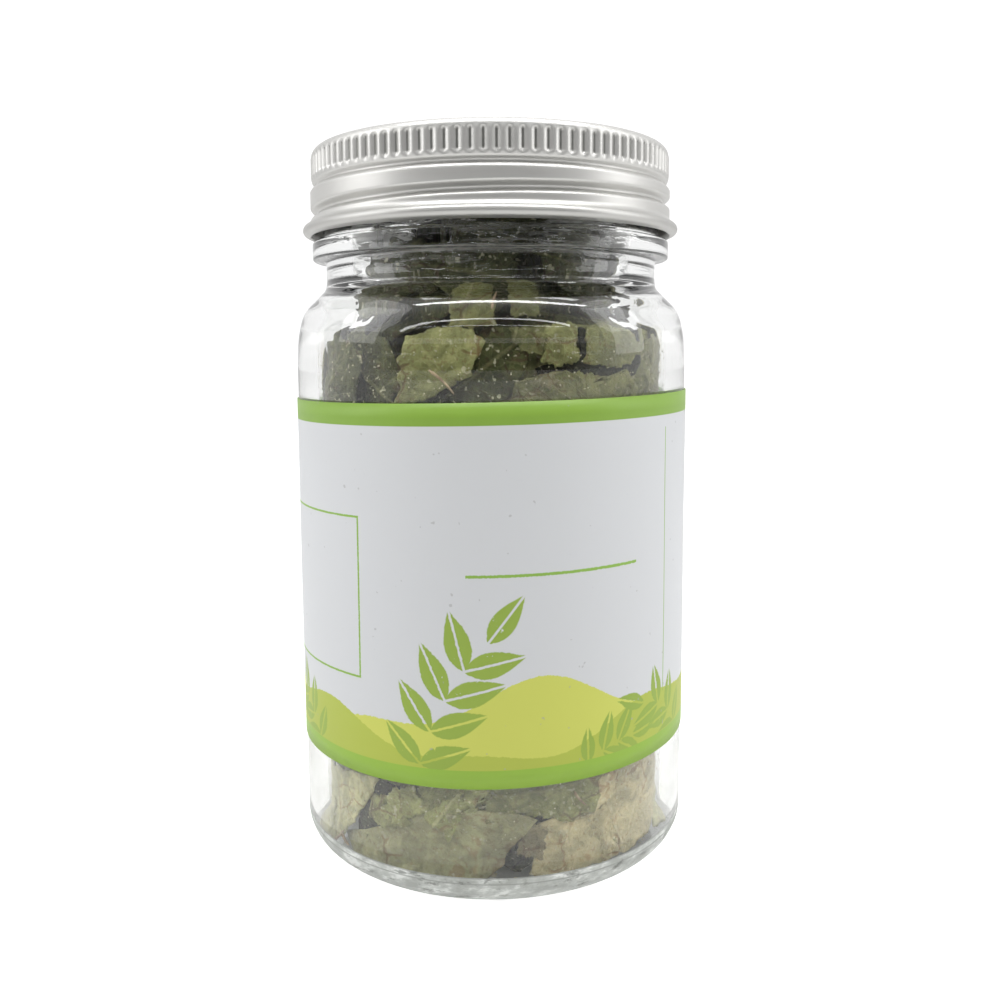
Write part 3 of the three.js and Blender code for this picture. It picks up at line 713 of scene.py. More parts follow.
def makeLabel():
    s = labelSizes
    columns, levels = s["columns"], s["levels"]
    vertices, faces = [], []
    for layer in range(2):
        for j in range(levels + 1):
            for i in range(columns + 1):
                degrees = 90 + s["seam"] / 2 + (360 - s["seam"]) * i / columns
                a = math.radians(degrees)
                share = j / levels
                soft = 0.02 * math.sin(3 * a + 9 * share) + 0.015 * math.sin(11 * a + 4 * share)
                r = s["inside"] + s["gap"] + soft + layer * s["thickness"]
                z = s["low"] + (s["high"] - s["low"]) * share + s["rise"] * r * math.cos(a)
                vertices.append(onWall(r, a, z))
    row, layerSize = columns + 1, (columns + 1) * (levels + 1)
    for j in range(levels):
        for i in range(columns):
            a = j * row + i
            faces.append((a, a + row, a + row + 1, a + 1))
            b = a + layerSize
            faces.append((b, b + 1, b + row + 1, b + row))
    for i in range(columns):
        a, b = i, levels * row + i
        faces.append((a, a + 1, a + 1 + layerSize, a + layerSize))
        faces.append((b, b + layerSize, b + 1 + layerSize, b + 1))
    for j in range(levels):
        a, b = j * row, j * row + columns
        faces.append((a, a + layerSize, a + row + layerSize, a + row))
        faces.append((b, b + row, b + row + layerSize, b + layerSize))
    label = makeObject("paperLabel", vertices, faces, labelMaterial())
    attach(label, "jar")
    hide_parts("paper_label")


makeLabel()
print("label made")


# leaves

# where each leaf lies: the same rule as the solids follow, in millimetres and degrees
wallRadius = jarSizes["bodyRadius"] - jarSizes["wall"] - 1
shoulderIn = {"start": 76.8, "rise": 10.2, "depth": 5.9}
neckWall = wallRadius - shoulderIn["depth"]
leafRings = {
    "low": {"count": 10, "first": 20, "lap": 2.2, "side": 1, "low": 3.3, "high": 34, "seed": 10, "tilt": 26,
            "rests": "floor"},
    "mid": {"count": 9, "first": 20, "lap": 2.2, "side": -1, "low": 34.8, "high": 56, "seed": 40, "tilt": 33},
    "high": {"count": 12, "first": 14, "lap": 1.75, "side": -1, "low": 56.6, "high": 80.3, "seed": 70,
             "tilt": 40, "rests": "top"},
    "shoulder": {"count": 8, "first": 30, "lap": 2, "side": -1, "low": 72.5, "high": 90, "seed": 220,
                 "tilt": 30, "inset": 4.3},
    # painted shade: the neck ring's lower tone darkens its leaves for the shade under the lid
    "neck": {"count": 8, "first": 14, "lap": 1.6, "side": 1, "low": 80.9, "high": 102.6, "seed": 100,
             "tilt": 40, "rests": "floor", "tone": 0.7},
}
neckLeafShare = 0.8
leafReach = 0.72        # how far a leaf may stand out from the surface that it lies on
ringKinds = {"low": ["pale", "green", "tan"], "mid": ["green", "dark", "pale"],
             "high": ["dark", "green", "dark", "green"], "shoulder": ["dark", "green", "dark"],
             "neck": ["dark"]}
chosenLeaves = {
    "low_5": {"start": 196, "lean": 74, "length": 27, "width": 15, "cup": 0.1, "wave": 0.1, "kind": "pale"},
    "low_6": {"start": 216, "lean": 202, "length": 33, "width": 19, "cup": 0.1, "wave": 0.1, "kind": "green"},
    "low_7": {"start": 276, "lean": 219, "length": 34, "width": 18, "kind": "tan"},
    "high_8": {"lean": -30, "length": 26, "width": 14, "kind": "dark"},
    "high_9": {"lean": 36, "length": 27, "width": 15.5, "kind": "dark"},
    "high_10": {"lean": 28, "length": 26, "width": 15, "kind": "green"},
    "high_11": {"lean": -24, "length": 27, "width": 15, "kind": "green"},
}
bodyBunch = {"count": 6, "lap": 6.4, "radius": 18.2, "core": 13.4, "coreLift": 0.6}
neckBunch = {"count": 5, "lap": 5.6, "radius": 12.4, "core": 8, "coreLift": 0.6, "tilt": 34}
leafBunches = {
    "low": {**bodyBunch, "first": 0, "side": -1, "low": 3.9, "high": 30, "seed": 130, "coreLift": -0.6,
            "bed": 9},
    "mid": {**bodyBunch, "first": 30, "side": 1, "low": 30.7, "high": 55.5, "seed": 150},
    "high": {**bodyBunch, "first": 10, "side": -1, "low": 56.2, "high": 79, "seed": 170},
    "neck": {**neckBunch, "first": 50, "side": -1, "low": 79.7, "high": 101.5, "seed": 190},
}
leafBed = {"height": 3.3, "reach": 22.4, "crumple": 0.12, "creaseSize": 7.0, "lap": 0.06, "grid": (28, 12),
           "length": (17, 20), "width": (11, 14), "turn": (-24, 24), "tone": (0.9, 1.5), "narrowest": 0.3}
coreGrid = (40, 72)
fineLeaf = {"grid": (60, 22), "bunchGrid": (40, 16), "strewnGrid": (48, 16), "thickness": 0.26, "edge": 0.45,
            "crumple": 0.34, "creaseSize": 9.0, "smallCreaseSize": 4.0, "rib": 0.22, "ribWidth": 0.45,
            "curl": 0.8, "stalk": 0.08, "widest": 0.93, "narrowest": 0.35}
# between which limits a leaf's own values are drawn
leafRanges = {"length": (23, 31), "width": (11.5, 15.5), "cup": (-0.3, 0.3), "wave": (0.1, 0.22),
              "turn": (0, 6), "torn": (0.62, 0.8), "curl": (-0.4, 1.0), "tone": (0.78, 1.16),
              "bunchTone": (0.85, 1.3)}
tornShare = 0.4
creaseSpread = (0.6, 1.7)
# teeth along an edge: depth, count and shift; then bites: how many, where, how wide and how deep
frayShape = {"teeth": [(0.01, 61, 5), (0.008, 143, 9)], "bites": 3, "place": (0.16, 0.97),
             "width": (0.012, 0.055), "depth": (0.03, 0.45), "least": 0.12}
leafLooks = {
    "green": {"light": (0.315, 0.32, 0.15), "deep": (0.185, 0.195, 0.085), "vein": (0.4, 0.385, 0.23),
              "spot": (0.17, 0.12, 0.06)},
    "dark": {"light": (0.098, 0.105, 0.044), "deep": (0.034, 0.039, 0.015), "vein": (0.18, 0.178, 0.095),
             "spot": (0.06, 0.04, 0.022)},
    "pale": {"light": (0.5, 0.48, 0.3), "deep": (0.36, 0.355, 0.205), "vein": (0.56, 0.53, 0.37),
             "spot": (0.28, 0.2, 0.1)},
    "tan": {"light": (0.5, 0.44, 0.29), "deep": (0.38, 0.335, 0.21), "vein": (0.58, 0.52, 0.37),
            "spot": (0.3, 0.2, 0.11)},
}
# scales of the noises on a leaf: a larger number is a finer grain
leafGrain = {"wander": 260.0, "grain": 2200.0, "patch": 75.0, "net": 950.0, "mottle": 900.0,
             "pits": 1500.0, "shadedCracks": 230.0, "crackPatch": 150.0, "spots": 330.0, "dust": 1300.0,
             "shade": 330.0, "fold": 190.0}
leafDust = (0.5, 0.48, 0.38)


def draw(leaf, channel):
    # a number from 0 to 1, always the same for one leaf and channel
    x = math.sin(leaf * 127.1 + channel * 311.7) * 43758.5453
    return x - math.floor(x)


def between(low, high, amount):
    return low + (high - low) * amount


def soften(x):
    x = np.clip(x, 0, 1)
    return x * x * (3 - 2 * x)


def lappedLeaf(ring, place, ringName=None):
    leafId = ring["seed"] + place
    kinds = ringKinds.get(ringName, ["dark"])
    size = neckLeafShare if ringName == "neck" else 1
    wall = neckWall if ringName == "neck" else wallRadius - ring.get("inset", 0)
    isTorn = ringName and draw(leafId, 5) < tornShare
    tilt = ring.get("tilt", 40)

    def drawn(name, channel):
        return between(*leafRanges[name], draw(leafId, channel))

    leaf = {"id": leafId, "ring": ring, "radius": ring.get("radius", wall),
            "lean": between(-tilt, tilt, draw(leafId, 1)), "length": size * drawn("length", 2),
            "width": size * drawn("width", 3), "kind": kinds[int(draw(leafId, 4) * len(kinds))],
            "torn": drawn("torn", 6) if isTorn else 1.0, "cup": drawn("cup", 7), "wave": drawn("wave", 8),
            "turn": drawn("turn", 9)}
    leaf.update(chosenLeaves.get(f"{ringName}_{place}", {}))
    # half of what it takes up round the wall and upwards, as an ellipse at its lean does
    lean = math.radians(leaf["lean"])
    breadth = leaf["width"] * fineLeaf["widest"]
    halfRound = math.hypot(leaf["length"] * math.cos(lean), breadth * math.sin(lean)) / 2
    halfRise = math.hypot(leaf["length"] * math.sin(lean), breadth * math.cos(lean)) / 2
    lowest = ring["low"] + halfRise
    highest = max(lowest, ring["high"] - halfRise)
    resting = {"floor": lowest, "top": highest}
    leaf["height"] = resting.get(ring.get("rests"), between(lowest, highest, draw(leafId, 10)))
    leaf["step"] = 360 / ring["count"]
    leaf.setdefault("start", ring["first"] + place * leaf["step"])
    leaf["angle"] = leaf["start"] + ring["side"] * math.degrees(halfRound / leaf["radius"])
    return leaf


def bladeOutline(s):
    along = np.clip((s - fineLeaf["stalk"]) / (1 - fineLeaf["stalk"]), 0, 1)
    return np.maximum(np.sin(np.pi * along ** 0.82), 0) ** 0.8 * (1 - 0.12 * along)


def wallAt(z):
    # the wall that a leaf lies on: straight, drawn in over the corner at the floor and at the shoulder
    corner = jarSizes["corner"]
    rise = np.clip(jarSizes["floor"] + corner - z, 0, corner)
    atFloor = corner - np.sqrt(corner ** 2 - rise ** 2)
    return wallRadius - atFloor - shoulderIn["depth"] * soften((z - shoulderIn["start"]) / shoulderIn["rise"])


def creases(x, y, seed, size, count=5):
    # folds in many directions: sharp ridges summed, roughly from -1 to 1
    total = np.zeros_like(x)
    for k in range(count):
        way = math.tau * draw(seed, 50 + k)
        wave = math.tau / (size * between(*creaseSpread, draw(seed, 60 + k)))
        phase = math.tau * draw(seed, 70 + k)
        line = (x * math.cos(way) + y * math.sin(way)) * wave + phase
        total += 1 - 2 * np.abs(np.sin(line + 0.6 * np.sin(line * 0.37 + phase)))
    return total / count ** 0.75


def frayedSide(s, seed):
    # share of the half width that is left along one edge: fine teeth and a few bites
    shape, left = frayShape, 1
    for k, (depth, count, shift) in enumerate(shape["teeth"]):
        left = left + depth * np.sin(count * s + shift * draw(seed, k + 1))
    for k in range(shape["bites"]):
        centre = between(*shape["place"], draw(seed, 10 + k))
        width = between(*shape["width"], draw(seed, 20 + k))
        depth = between(*shape["depth"], draw(seed, 30 + k) ** 3)
        left = left - depth * soften(1.25 - np.abs(s - centre) / width)
    return np.clip(left, shape["least"], 1.05)


def leafSheet(leaf):
    rows, columns = leaf.get("grid", fineLeaf["grid"])
    ring = leaf["ring"]
    t = np.linspace(-1, 1, columns + 1)[None, :]
    share = np.linspace(0, 1, rows + 1)[:, None]
    ragged = 0.022 * np.sin(13 * t + leaf["turn"]) + 0.014 * np.sin(37 * t + 3 * leaf["turn"])
    last = leaf["torn"] + (ragged if leaf["torn"] < 1 else 0 * t)
    first = leaf.get("first", 0) + (1.5 * ragged if "first" in leaf else 0 * t)
    s = first + share * (last - first)
    stay = 1 + 0.06 * np.sin(34 * s + leaf["turn"]) * np.abs(t)
    left, right = frayedSide(s, leaf["id"] + 0.31), frayedSide(s, leaf["id"] + 0.77)
    fray = np.where(t < 0, left, right)
    half = 0.5 * leaf["width"] * bladeOutline(np.minimum(s, 0.985)) * stay * fray
    half = np.maximum(fineLeaf["narrowest"], half)
    along = (s - 0.5) * leaf["length"]
    across = t * half
    lean = math.radians(leaf["lean"])
    around = along * math.cos(lean) - across * math.sin(lean)
    z = leaf["height"] + along * math.sin(lean) + across * math.cos(lean)
    degrees = leaf["angle"] + np.degrees(around / leaf["radius"])
    wall = wallAt(z) - ring.get("inset", 0) if "radius" not in ring else ring["radius"]
    lane = wall - ring["lap"] * ring["side"] * (degrees - leaf["start"]) / leaf["step"]
    ripple = leaf["wave"] * np.sin(9 * s + leaf["turn"]) * t + 0.12 * np.sin(5 * s + 2 * leaf["turn"])
    relief = leaf["cup"] * (2 * across / leaf["width"]) ** 2 + ripple
    inBlade = soften((s - fineLeaf["stalk"]) / 0.08)
    crumple = creases(along, across, leaf["id"], fineLeaf["creaseSize"])
    crumple = crumple + 0.4 * creases(along, across, leaf["id"] + 0.5, fineLeaf["smallCreaseSize"])
    rib = fineLeaf["rib"] * np.exp(-(across / fineLeaf["ribWidth"]) ** 2)
    curlSides = [between(*leafRanges["curl"], draw(leaf["id"], channel)) for channel in (33, 34)]
    curl = np.where(t < 0, *curlSides) * soften((np.abs(t) - 0.45) / 0.55) ** 1.5
    relief = relief + inBlade * (fineLeaf["crumple"] * crumple - fineLeaf["curl"] * curl) + rib
    radius = lane + relief * leaf.get("flat", 1) - 0.15 + leaf.get("out", 0)
    radius = np.minimum(radius, wall + leafReach)
    angle = np.radians(degrees)
    points = np.stack([radius * np.cos(angle), radius * np.sin(angle), z], -1)
    return points, along + 0 * t, across


def sheetMesh(points, thickness):
    # a closed thin sheet about a grid of middle points, outer face first
    down = np.gradient(points, axis=0)
    side = np.gradient(points, axis=1)
    normal = np.cross(down, side)
    size = np.linalg.norm(normal, axis=2, keepdims=True)
    normal = normal / np.maximum(size, 1e-9)
    rows, columns = points.shape[0] - 1, points.shape[1] - 1
    edge = np.ones((rows + 1, columns + 1, 1))
    edge[:, [0, -1]] = fineLeaf["edge"]
    edge[[0, -1], :] = fineLeaf["edge"]
    one = points + normal * edge * thickness / 2
    two = points - normal * edge * thickness / 2
    vertices = np.concatenate([one.reshape(-1, 3), two.reshape(-1, 3)]) * mm
    row, layer = columns + 1, (rows + 1) * (columns + 1)
    i, j = np.meshgrid(np.arange(rows), np.arange(columns), indexing="ij")
    a = (i * row + j).ravel()
    upper = np.stack([a, a + row, a + row + 1, a + 1], 1)
    lower = np.stack([a, a + 1, a + row + 1, a + row], 1) + layer
    r = np.arange(rows) * row
    c = np.arange(columns)
    left = np.stack([r, r + layer, r + row + layer, r + row], 1)
    right = np.stack([r, r + row, r + row + layer, r + layer], 1) + columns
    first = np.stack([c, c + 1, c + 1 + layer, c + layer], 1)
    last = np.stack([c, c + layer, c + 1 + layer, c + 1], 1) + rows * row
    return vertices, np.concatenate([upper, lower, left, right, first, last])


def giveTone(piece, tones):
    attribute = piece.data.attributes.new("tone", "FLOAT", "POINT")
    attribute.data.foreach_set("value", tones.astype(np.float32))


def leafObject(name, sheets, material):
    # sheets: a list of (points, along, across, tone); each becomes one closed blade in the object
    vertices, faces, uv, tones = [], [], [], []
    count = 0
    for points, along, across, tone in sheets:
        made, quads = sheetMesh(points, fineLeaf["thickness"])
        vertices.append(made)
        faces.append(quads + count)
        place = np.stack([along, across], -1).reshape(-1, 2) / 100
        uv += [place, place]
        tones.append(np.full(len(made), tone))
        count += len(made)
    vertices, faces, uv = np.concatenate(vertices), np.concatenate(faces), np.concatenate(uv)
    piece = makeObject(name, vertices, faces, material)
    layer = piece.data.uv_layers.new(name="veins")
    layer.data.foreach_set("uv", uv[faces.ravel()].ravel().astype(np.float32))
    giveTone(piece, np.concatenate(tones))
    return piece


def leafMaterial(kind):
    look, size = leafLooks[kind], leafGrain
    material, g, shader = makeMaterial(f"{kind}Leaf", Specular_IOR_Level=0.18)
    place = g.place()
    uv = g.add("ShaderNodeUVMap", {"uv_map": "veins"})
    along, across = (part * 100 for part in g.split(uv)[:2])         # millimetres
    tone = g.add("ShaderNodeAttribute", {"attribute_name": "tone"}, out=2)
    side = abs(across)

    def edges(vector, scale):
        return g.add("ShaderNodeTexVoronoi", {"feature": "DISTANCE_TO_EDGE"}, vector=vector, scale=scale)

    wander = g.noise(place, size["wander"], 3.0, 0.55)
    grain = g.noise(place, size["grain"], 3.0, 0.65)
    patch = g.noise(place, size["patch"], 3.0, 0.6)
    rib = g.smooth(side, 0.36, 0.1)
    vein = along / 2.1 - side * 0.42 + (across > 0.0) * 0.45 + (wander - 0.5) * 0.9
    vein = abs(g.math("FRACT", vein + 50) - 0.5)
    veins = g.smooth(vein, 0.075, 0.02) * g.smooth(side, 7.5, 2.0)
    nets = g.smooth(edges(place, size["net"]), 0.09, 0.02)
    mottle = g.smooth(g.noise(place, size["mottle"], 5.0, 0.85), 0.42, 0.6)
    pits = g.smooth(g.noise(place, size["pits"], 2.0, 0.6), 0.57, 0.65) * 0.5
    # short cracks whose dark insides are painted shade
    x, y, z = g.split(place)
    bent = g.join(x + (wander - 0.5) * 0.004, y + (wander - 0.5) * 0.003, z + (patch - 0.5) * 0.006)
    crackPatch = g.smooth(g.noise(place, size["crackPatch"], 2.0, 0.5), 0.5, 0.58)
    shadedCracks = g.smooth(edges(bent, size["shadedCracks"]), 0.06, 0.02) * crackPatch
    spots = g.smooth(g.noise(place, size["spots"], 2.0, 0.5), 0.64, 0.74) * 0.7
    dust = g.smooth(g.noise(place, size["dust"], 1.0, 0.5), 0.64, 0.71) * 0.6
    # the layers of colour, each laid over the ones before it
    base = g.mix(g.smooth(patch + (wander - 0.5) * 0.5, 0.35, 0.68), look["deep"], look["light"])
    layers = [(0.6 * mottle, look["deep"]), (0.16 * nets, look["vein"]), (pits, look["spot"]),
              (0.2 * veins, look["vein"]), (0.42 * rib, look["vein"]), (0.75 * shadedCracks, look["spot"]),
              (spots, look["spot"]), (dust, leafDust)]
    for amount, layer in layers:
        base = g.mix(amount, base, layer)
    shade = tone * (0.8 + 0.48 * g.smooth(g.noise(bent, size["shade"], 3.0, 0.7), 0.34, 0.66))
    base = g.mix(1.0, base, g.join(shade, shade, shade * 0.86), "MULTIPLY")
    paint(g, shader, base, 0.5 + 0.25 * grain + 0.1 * dust)
    fold = g.math("MINIMUM", abs(g.noise(bent, size["fold"], 2.0, 0.5) - 0.5) * 9.0, 1.0)
    height = rib * 1.2 + veins * 0.4 + nets * 0.22 + grain * 0.35 + wander * 0.9 - shadedCracks * 0.8 + fold * 2.2
    bumpInto(g, shader, height, 0.6, 0.0003)
    return material


leafMaterials = {kind: leafMaterial(kind) for kind in leafLooks}


def makeRingLeaves():
    for ringName, ring in leafRings.items():
        for place in range(ring["count"]):
            leaf = lappedLeaf(ring, place, ringName)
            tone = between(*leafRanges["tone"], draw(leaf["id"], 41)) * ring.get("tone", 1)
            piece = leafObject(f"driedLeaf_{ringName}_{place + 1:02d}", [(*leafSheet(leaf), tone)],
                               leafMaterials[leaf["kind"]])
            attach(piece, "jar")
            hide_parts(f"leaf_{ringName}_{place + 1:02d}")
            "leaf_" + leaf["kind"]


def coreSheet(bunch):
    # the crumpled middle of a bunch, closed over both ends
    share = np.linspace(0, 1, coreGrid[0] + 1)[:, None]
    angle = np.linspace(0, math.tau, coreGrid[1], endpoint=False)[None, :]
    top, bottom = bunch["high"] - 1.5, bunch["low"] + bunch["coreLift"]
    z = top - share * (top - bottom)
    end = np.sqrt(np.clip(1 - (2 * share - 1) ** 8, 0.0, 1))
    lumps = creases(bunch["core"] * angle + 0 * z, z + 0 * angle, bunch["seed"] + 0.2, 8.0, 7)
    radius = bunch["core"] * end * (0.97 + 0.05 * lumps)
    return np.stack([radius * np.cos(angle), radius * np.sin(angle), z + 0 * angle], -1)


def bedSheet(bunch, place):
    # a leaf that lies flat on the floor with its tip towards the wall
    bed, leafId = leafBed, bunch["seed"] + 50 + place
    turn, length, width = (between(*bed[name], draw(leafId, k + 1)) for k, name in
                           enumerate(("turn", "length", "width")))
    turn, bearing = math.radians(turn), math.tau * place / bunch["bed"]
    s = np.linspace(0, 1, bed["grid"][0] + 1)[:, None]
    t = np.linspace(-1, 1, bed["grid"][1] + 1)[None, :]
    along = (s - 0.5) * length + 0 * t
    half = 0.5 * width * bladeOutline(np.minimum(s, 0.985))
    fray = np.where(t < 0, frayedSide(s, leafId + 0.31), frayedSide(s, leafId + 0.77))
    across = t * np.maximum(bed["narrowest"], half * fray)
    x = bed["reach"] - length / 2 + along * math.cos(turn) - across * math.sin(turn)
    y = along * math.sin(turn) + across * math.cos(turn)
    crumple = bed["crumple"] * creases(along, across, leafId, bed["creaseSize"])
    z = bed["height"] + crumple + (bed["lap"] if place % 2 else -bed["lap"])
    points = np.stack([x * math.cos(bearing) - y * math.sin(bearing),
                       x * math.sin(bearing) + y * math.cos(bearing), z], -1)
    return points, along, across


def makeBunches():
    for name, bunch in leafBunches.items():
        sheets = []
        for place in range(bunch["count"]):
            leaf = {**lappedLeaf(bunch, place), "grid": fineLeaf["bunchGrid"]}
            sheets.append((*leafSheet(leaf), between(*leafRanges["bunchTone"], draw(leaf["id"], 41))))
        for place in range(bunch.get("bed", 0)):
            tone = between(*leafBed["tone"], draw(bunch["seed"] + place, 42))
            sheets.append((*bedSheet(bunch, place), tone))
        piece = leafObject(f"driedBunch_{name}", sheets, leafMaterials["dark"])
        core = coreSheet(bunch) * mm
        poles = [(0, 0, core[0, 0, 2])], [(0, 0, core[-1, 0, 2])]
        vertices = poles[0] + [tuple(p) for p in core.reshape(-1, 3)] + poles[1]
        # its rings run downwards, so each face is turned round
        faces = [(face[0], *face[:0:-1]) for face in turnedFaces(core.shape[0], core.shape[1])]
        middle = makeObject(f"driedCore_{name}", vertices, faces, leafMaterials["dark"])
        giveTone(middle, np.full(len(vertices), 0.7))
        for part in (piece, middle):
            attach(part, "jar")
        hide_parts(f"leaf_pack_{name}")


makeRingLeaves()
makeBunches()

# broken pieces of leaf flat against the glass: kind, tone, bearing and height of the middle, lean of the
# vein, distance out from the leaves, crumple, how far the vein lies from the middle (none: drawn), and
# the corners round the middle, all in millimetres and degrees
chipColumns = ("kind", "tone", "bearing", "height", "vein", "out", "crumple", "offset", "corners")
chips = [
    ("green", 0.8, 255, 74, -60, 0.55, 0.1, 9, [(-4.5, 3.5), (0.5, 5), (4.5, 4.5), (6, 3), (4, -1.5),
     (-0.5, -4), (-2.5, -5), (-6, -5), (-5.2, -3), (-6, -1.5), (-4.8, -0.5), (-5.8, 0.5)]),
    ("green", 0.67, 290, 76.5, 35, 0.6, 0.1, 5, [(-2, 2.5), (1.5, 3), (2.9, 2.5), (2.1, 0.5), (2.6, -2.1),
     (-1, -2.8), (-3, -2), (-2.2, 0)]),
    ("green", 0.68, 308, 76, 35, 0.6, 0.1, 8, [(-4.4, 2.8), (-1.4, 2.9), (2, 2.3), (4.8, 0.2), (3.6, -1.1),
     (2.4, -2.1), (0, -2.6), (-2.6, -2.2), (-4.9, -1.9), (-4.6, 0.7)]),
    # painted shade: a near-black piece behind its neighbours, so the gap between them reads as a dark crack
    ("dark", 0.2, 299, 73.9, 0, 0.08, 0.04, None, [(10, 0.2), (9.6, 1.4), (1.4, 0.9), (0.9, 4.8),
     (-1.4, 4.6), (-1.4, 0.9), (-7.5, -0.2), (-7, -1.6), (0, -1.9), (8, -1.6)]),
    ("green", 0.58, 296, 70.7, 12, 0.35, 0.1, None, [(-8.5, 1), (-4, 2.5), (0, 2.2), (4.5, 1.6), (7.5, 2.5),
     (10, 0), (9.5, -2.5), (-10, -2)]),
    ("pale", 0.45, 284, 71.9, 40, 0.68, 0.1, None, [(-2, 0), (1.5, 1), (2, 0), (1, -1), (-1, -0.5)]),
    ("green", 0.46, 281, 77.2, 70, 0.3, 0.1, None, [(-2.5, 1.5), (2.5, 2), (2.5, 0), (1.5, -2), (-1, -1.5),
     (-2.5, 0)]),
    ("green", 0.6, 264, 81.7, 80, 0.4, 0.1, None, [(-3, 1.5), (-2, 2.5), (0, 3), (2.5, 2.5), (3, -2.5),
     (0, -3), (-2.5, -2.5), (-2.8, -0.5)]),
    ("green", 0.5, 281, 82.8, 100, 0.4, 0.1, None, [(-2, 2.5), (1, 2.5), (2, 1), (1.5, -2.5), (-2, -2.5)]),
    ("dark", 1.1, 217, 73, 62, 0.3, 0.3, None, [(-5.5, 3), (-2, 5), (2, 4), (5.5, 2.5), (4, -3), (5, -6),
     (-5, -6), (-6, -2)]),
    ("green", 0.56, 327, 73, 78, 0.3, 0.3, None, [(-6, 1), (-3, 3.5), (1, 4.5), (5.5, 4), (6, -1), (5, -6),
     (-6, -6), (-4.5, -2)]),
    ("pale", 1.0, 212, 9.5, 80, 0.3, 0.12, None, [(-8.5, 3.5), (-1.5, 4.5), (5, 5.5), (9.5, 6), (7.5, 2.5),
     (5.5, 0), (4.5, -1.5), (1.5, -4.5), (-1, -6), (-3.5, -5), (-6.5, -4), (-8.5, -1)]),
    ("pale", 0.72, 249, 8, 17, 0.25, 0.4, None, [(-15.5, -2.5), (-11.5, -1.5), (-5.5, 1), (0, 4), (4, 4.5),
     (7.5, 5), (12, 4.5), (15.5, 3.5), (13, 0.5), (11.5, -0.5), (10.5, -2.5), (8, -4.8), (3.5, -5), (-2, -5),
     (-8, -4.8), (-13.5, -4.6)]),
    ("dark", 0.45, 227.5, 8.5, 0, -1.1, 0.05, None, [(4.5, 1), (5, 6), (0, 6.5), (-3, 2), (-4, -3),
     (0, -4.5), (3.5, -4.2)]),
    ("green", 0.8, 235.5, 10.8, 120, 0.4, 0.3, None, [(-3.5, 1.5), (0, 2.5), (2, 1), (4.5, -0.5), (3, -1.5),
     (-1, -2.5), (-3, -1.5)]),
    ("green", 1.25, 242, 12, 30, 0.52, 0.45, None, [(-2, 2.5), (1.5, 3.5), (2, 2), (4, 1), (4, 0), (2, -0.5),
     (0, -2), (-3, -3), (-4, -1), (-3, 0)]),
    ("green", 0.95, 254, 14.3, 10, 0.35, 0.4, None, [(-4, 2), (4, 3), (3, 0), (0, -1), (-1.5, -2),
     (-3, -0.5)]),
    ("green", 1.3, 259, 12.4, 55, 0.62, 0.4, None, [(1.5, 4), (5, 3.5), (4, 1), (1.5, 1), (0, -1.5),
     (-1, -4), (-2.5, -2), (-4, -2), (-5, -1), (-2, 1.5), (-0.5, 2.5)]),
    ("green", 0.85, 286, 13.5, 5, 0.45, 0.3, None, [(-8, 3.5), (0, 3), (8, 3), (8, 0), (7, -1), (7, -2.5),
     (5, -2), (3.5, -3), (1.5, -2.5), (0, -2), (-3.5, -1.5), (-6.5, -2), (-8.5, -2.5)]),
    ("tan", 1.0, 307, 9.4, -70, 0.3, 0.16, None, [(1, 7.5), (5.5, 7.5), (11.5, 6), (12, 0), (10, -2.5),
     (8, -4.5), (4, -5.2), (-2.5, -5.7), (-8, -5.8), (-11, -6.4), (-12, -5), (-11, -1.5), (-11.5, 1),
     (-8.5, 2), (-5.5, 1.5), (-2.5, 1.5), (-1.5, 2), (0, 3.5)]),
    ("tan", 1.15, 305, 13.3, 60, 0.6, 0.1, None, [(-1, 3), (2, 3), (1, -0.5), (-1, -1.5), (-2, -2.5),
     (-1.5, -0.5)]),
    ("pale", 1.1, 338, 9, 80, 0.2, 0.15, None, [(-2, 6.5), (3, 5.5), (5, 0), (4, -4), (-0.5, -4.5), (-4, -4),
     (-5, 0)]),
    ("tan", 0.45, 280, 8.3, 60, 0.15, 0.2, None, [(-1.5, -0.5), (0.5, 2.5), (2.5, 1.5), (2, -2.5),
     (-1.5, -1.5)]),
]
# pieces strewn round both windows: how many, and between which heights
strewn = {"count": 34, "foot": (6.5, 15), "shoulder": (70.5, 78), "start": 350, "sweep": 212,
          "kinds": ("green", "dark", "pale", "green"), "lean": (-80, 80), "length": (7, 16), "width": (5, 9),
          "torn": 0.85, "first": 0.25, "wave": 0.05, "flat": 0.3, "out": (0.3, 0.6), "tone": (0.8, 1.2)}
chipShape = {"steps": 36, "edgeSteps": 24, "offset": (-3, 3), "nicks": (0.16, 0.1, 0.06), "creaseSize": 8.0,
             "smallCreaseSize": 3.4, "rib": 0.12, "lift": 0.35, "reach": 0.75}


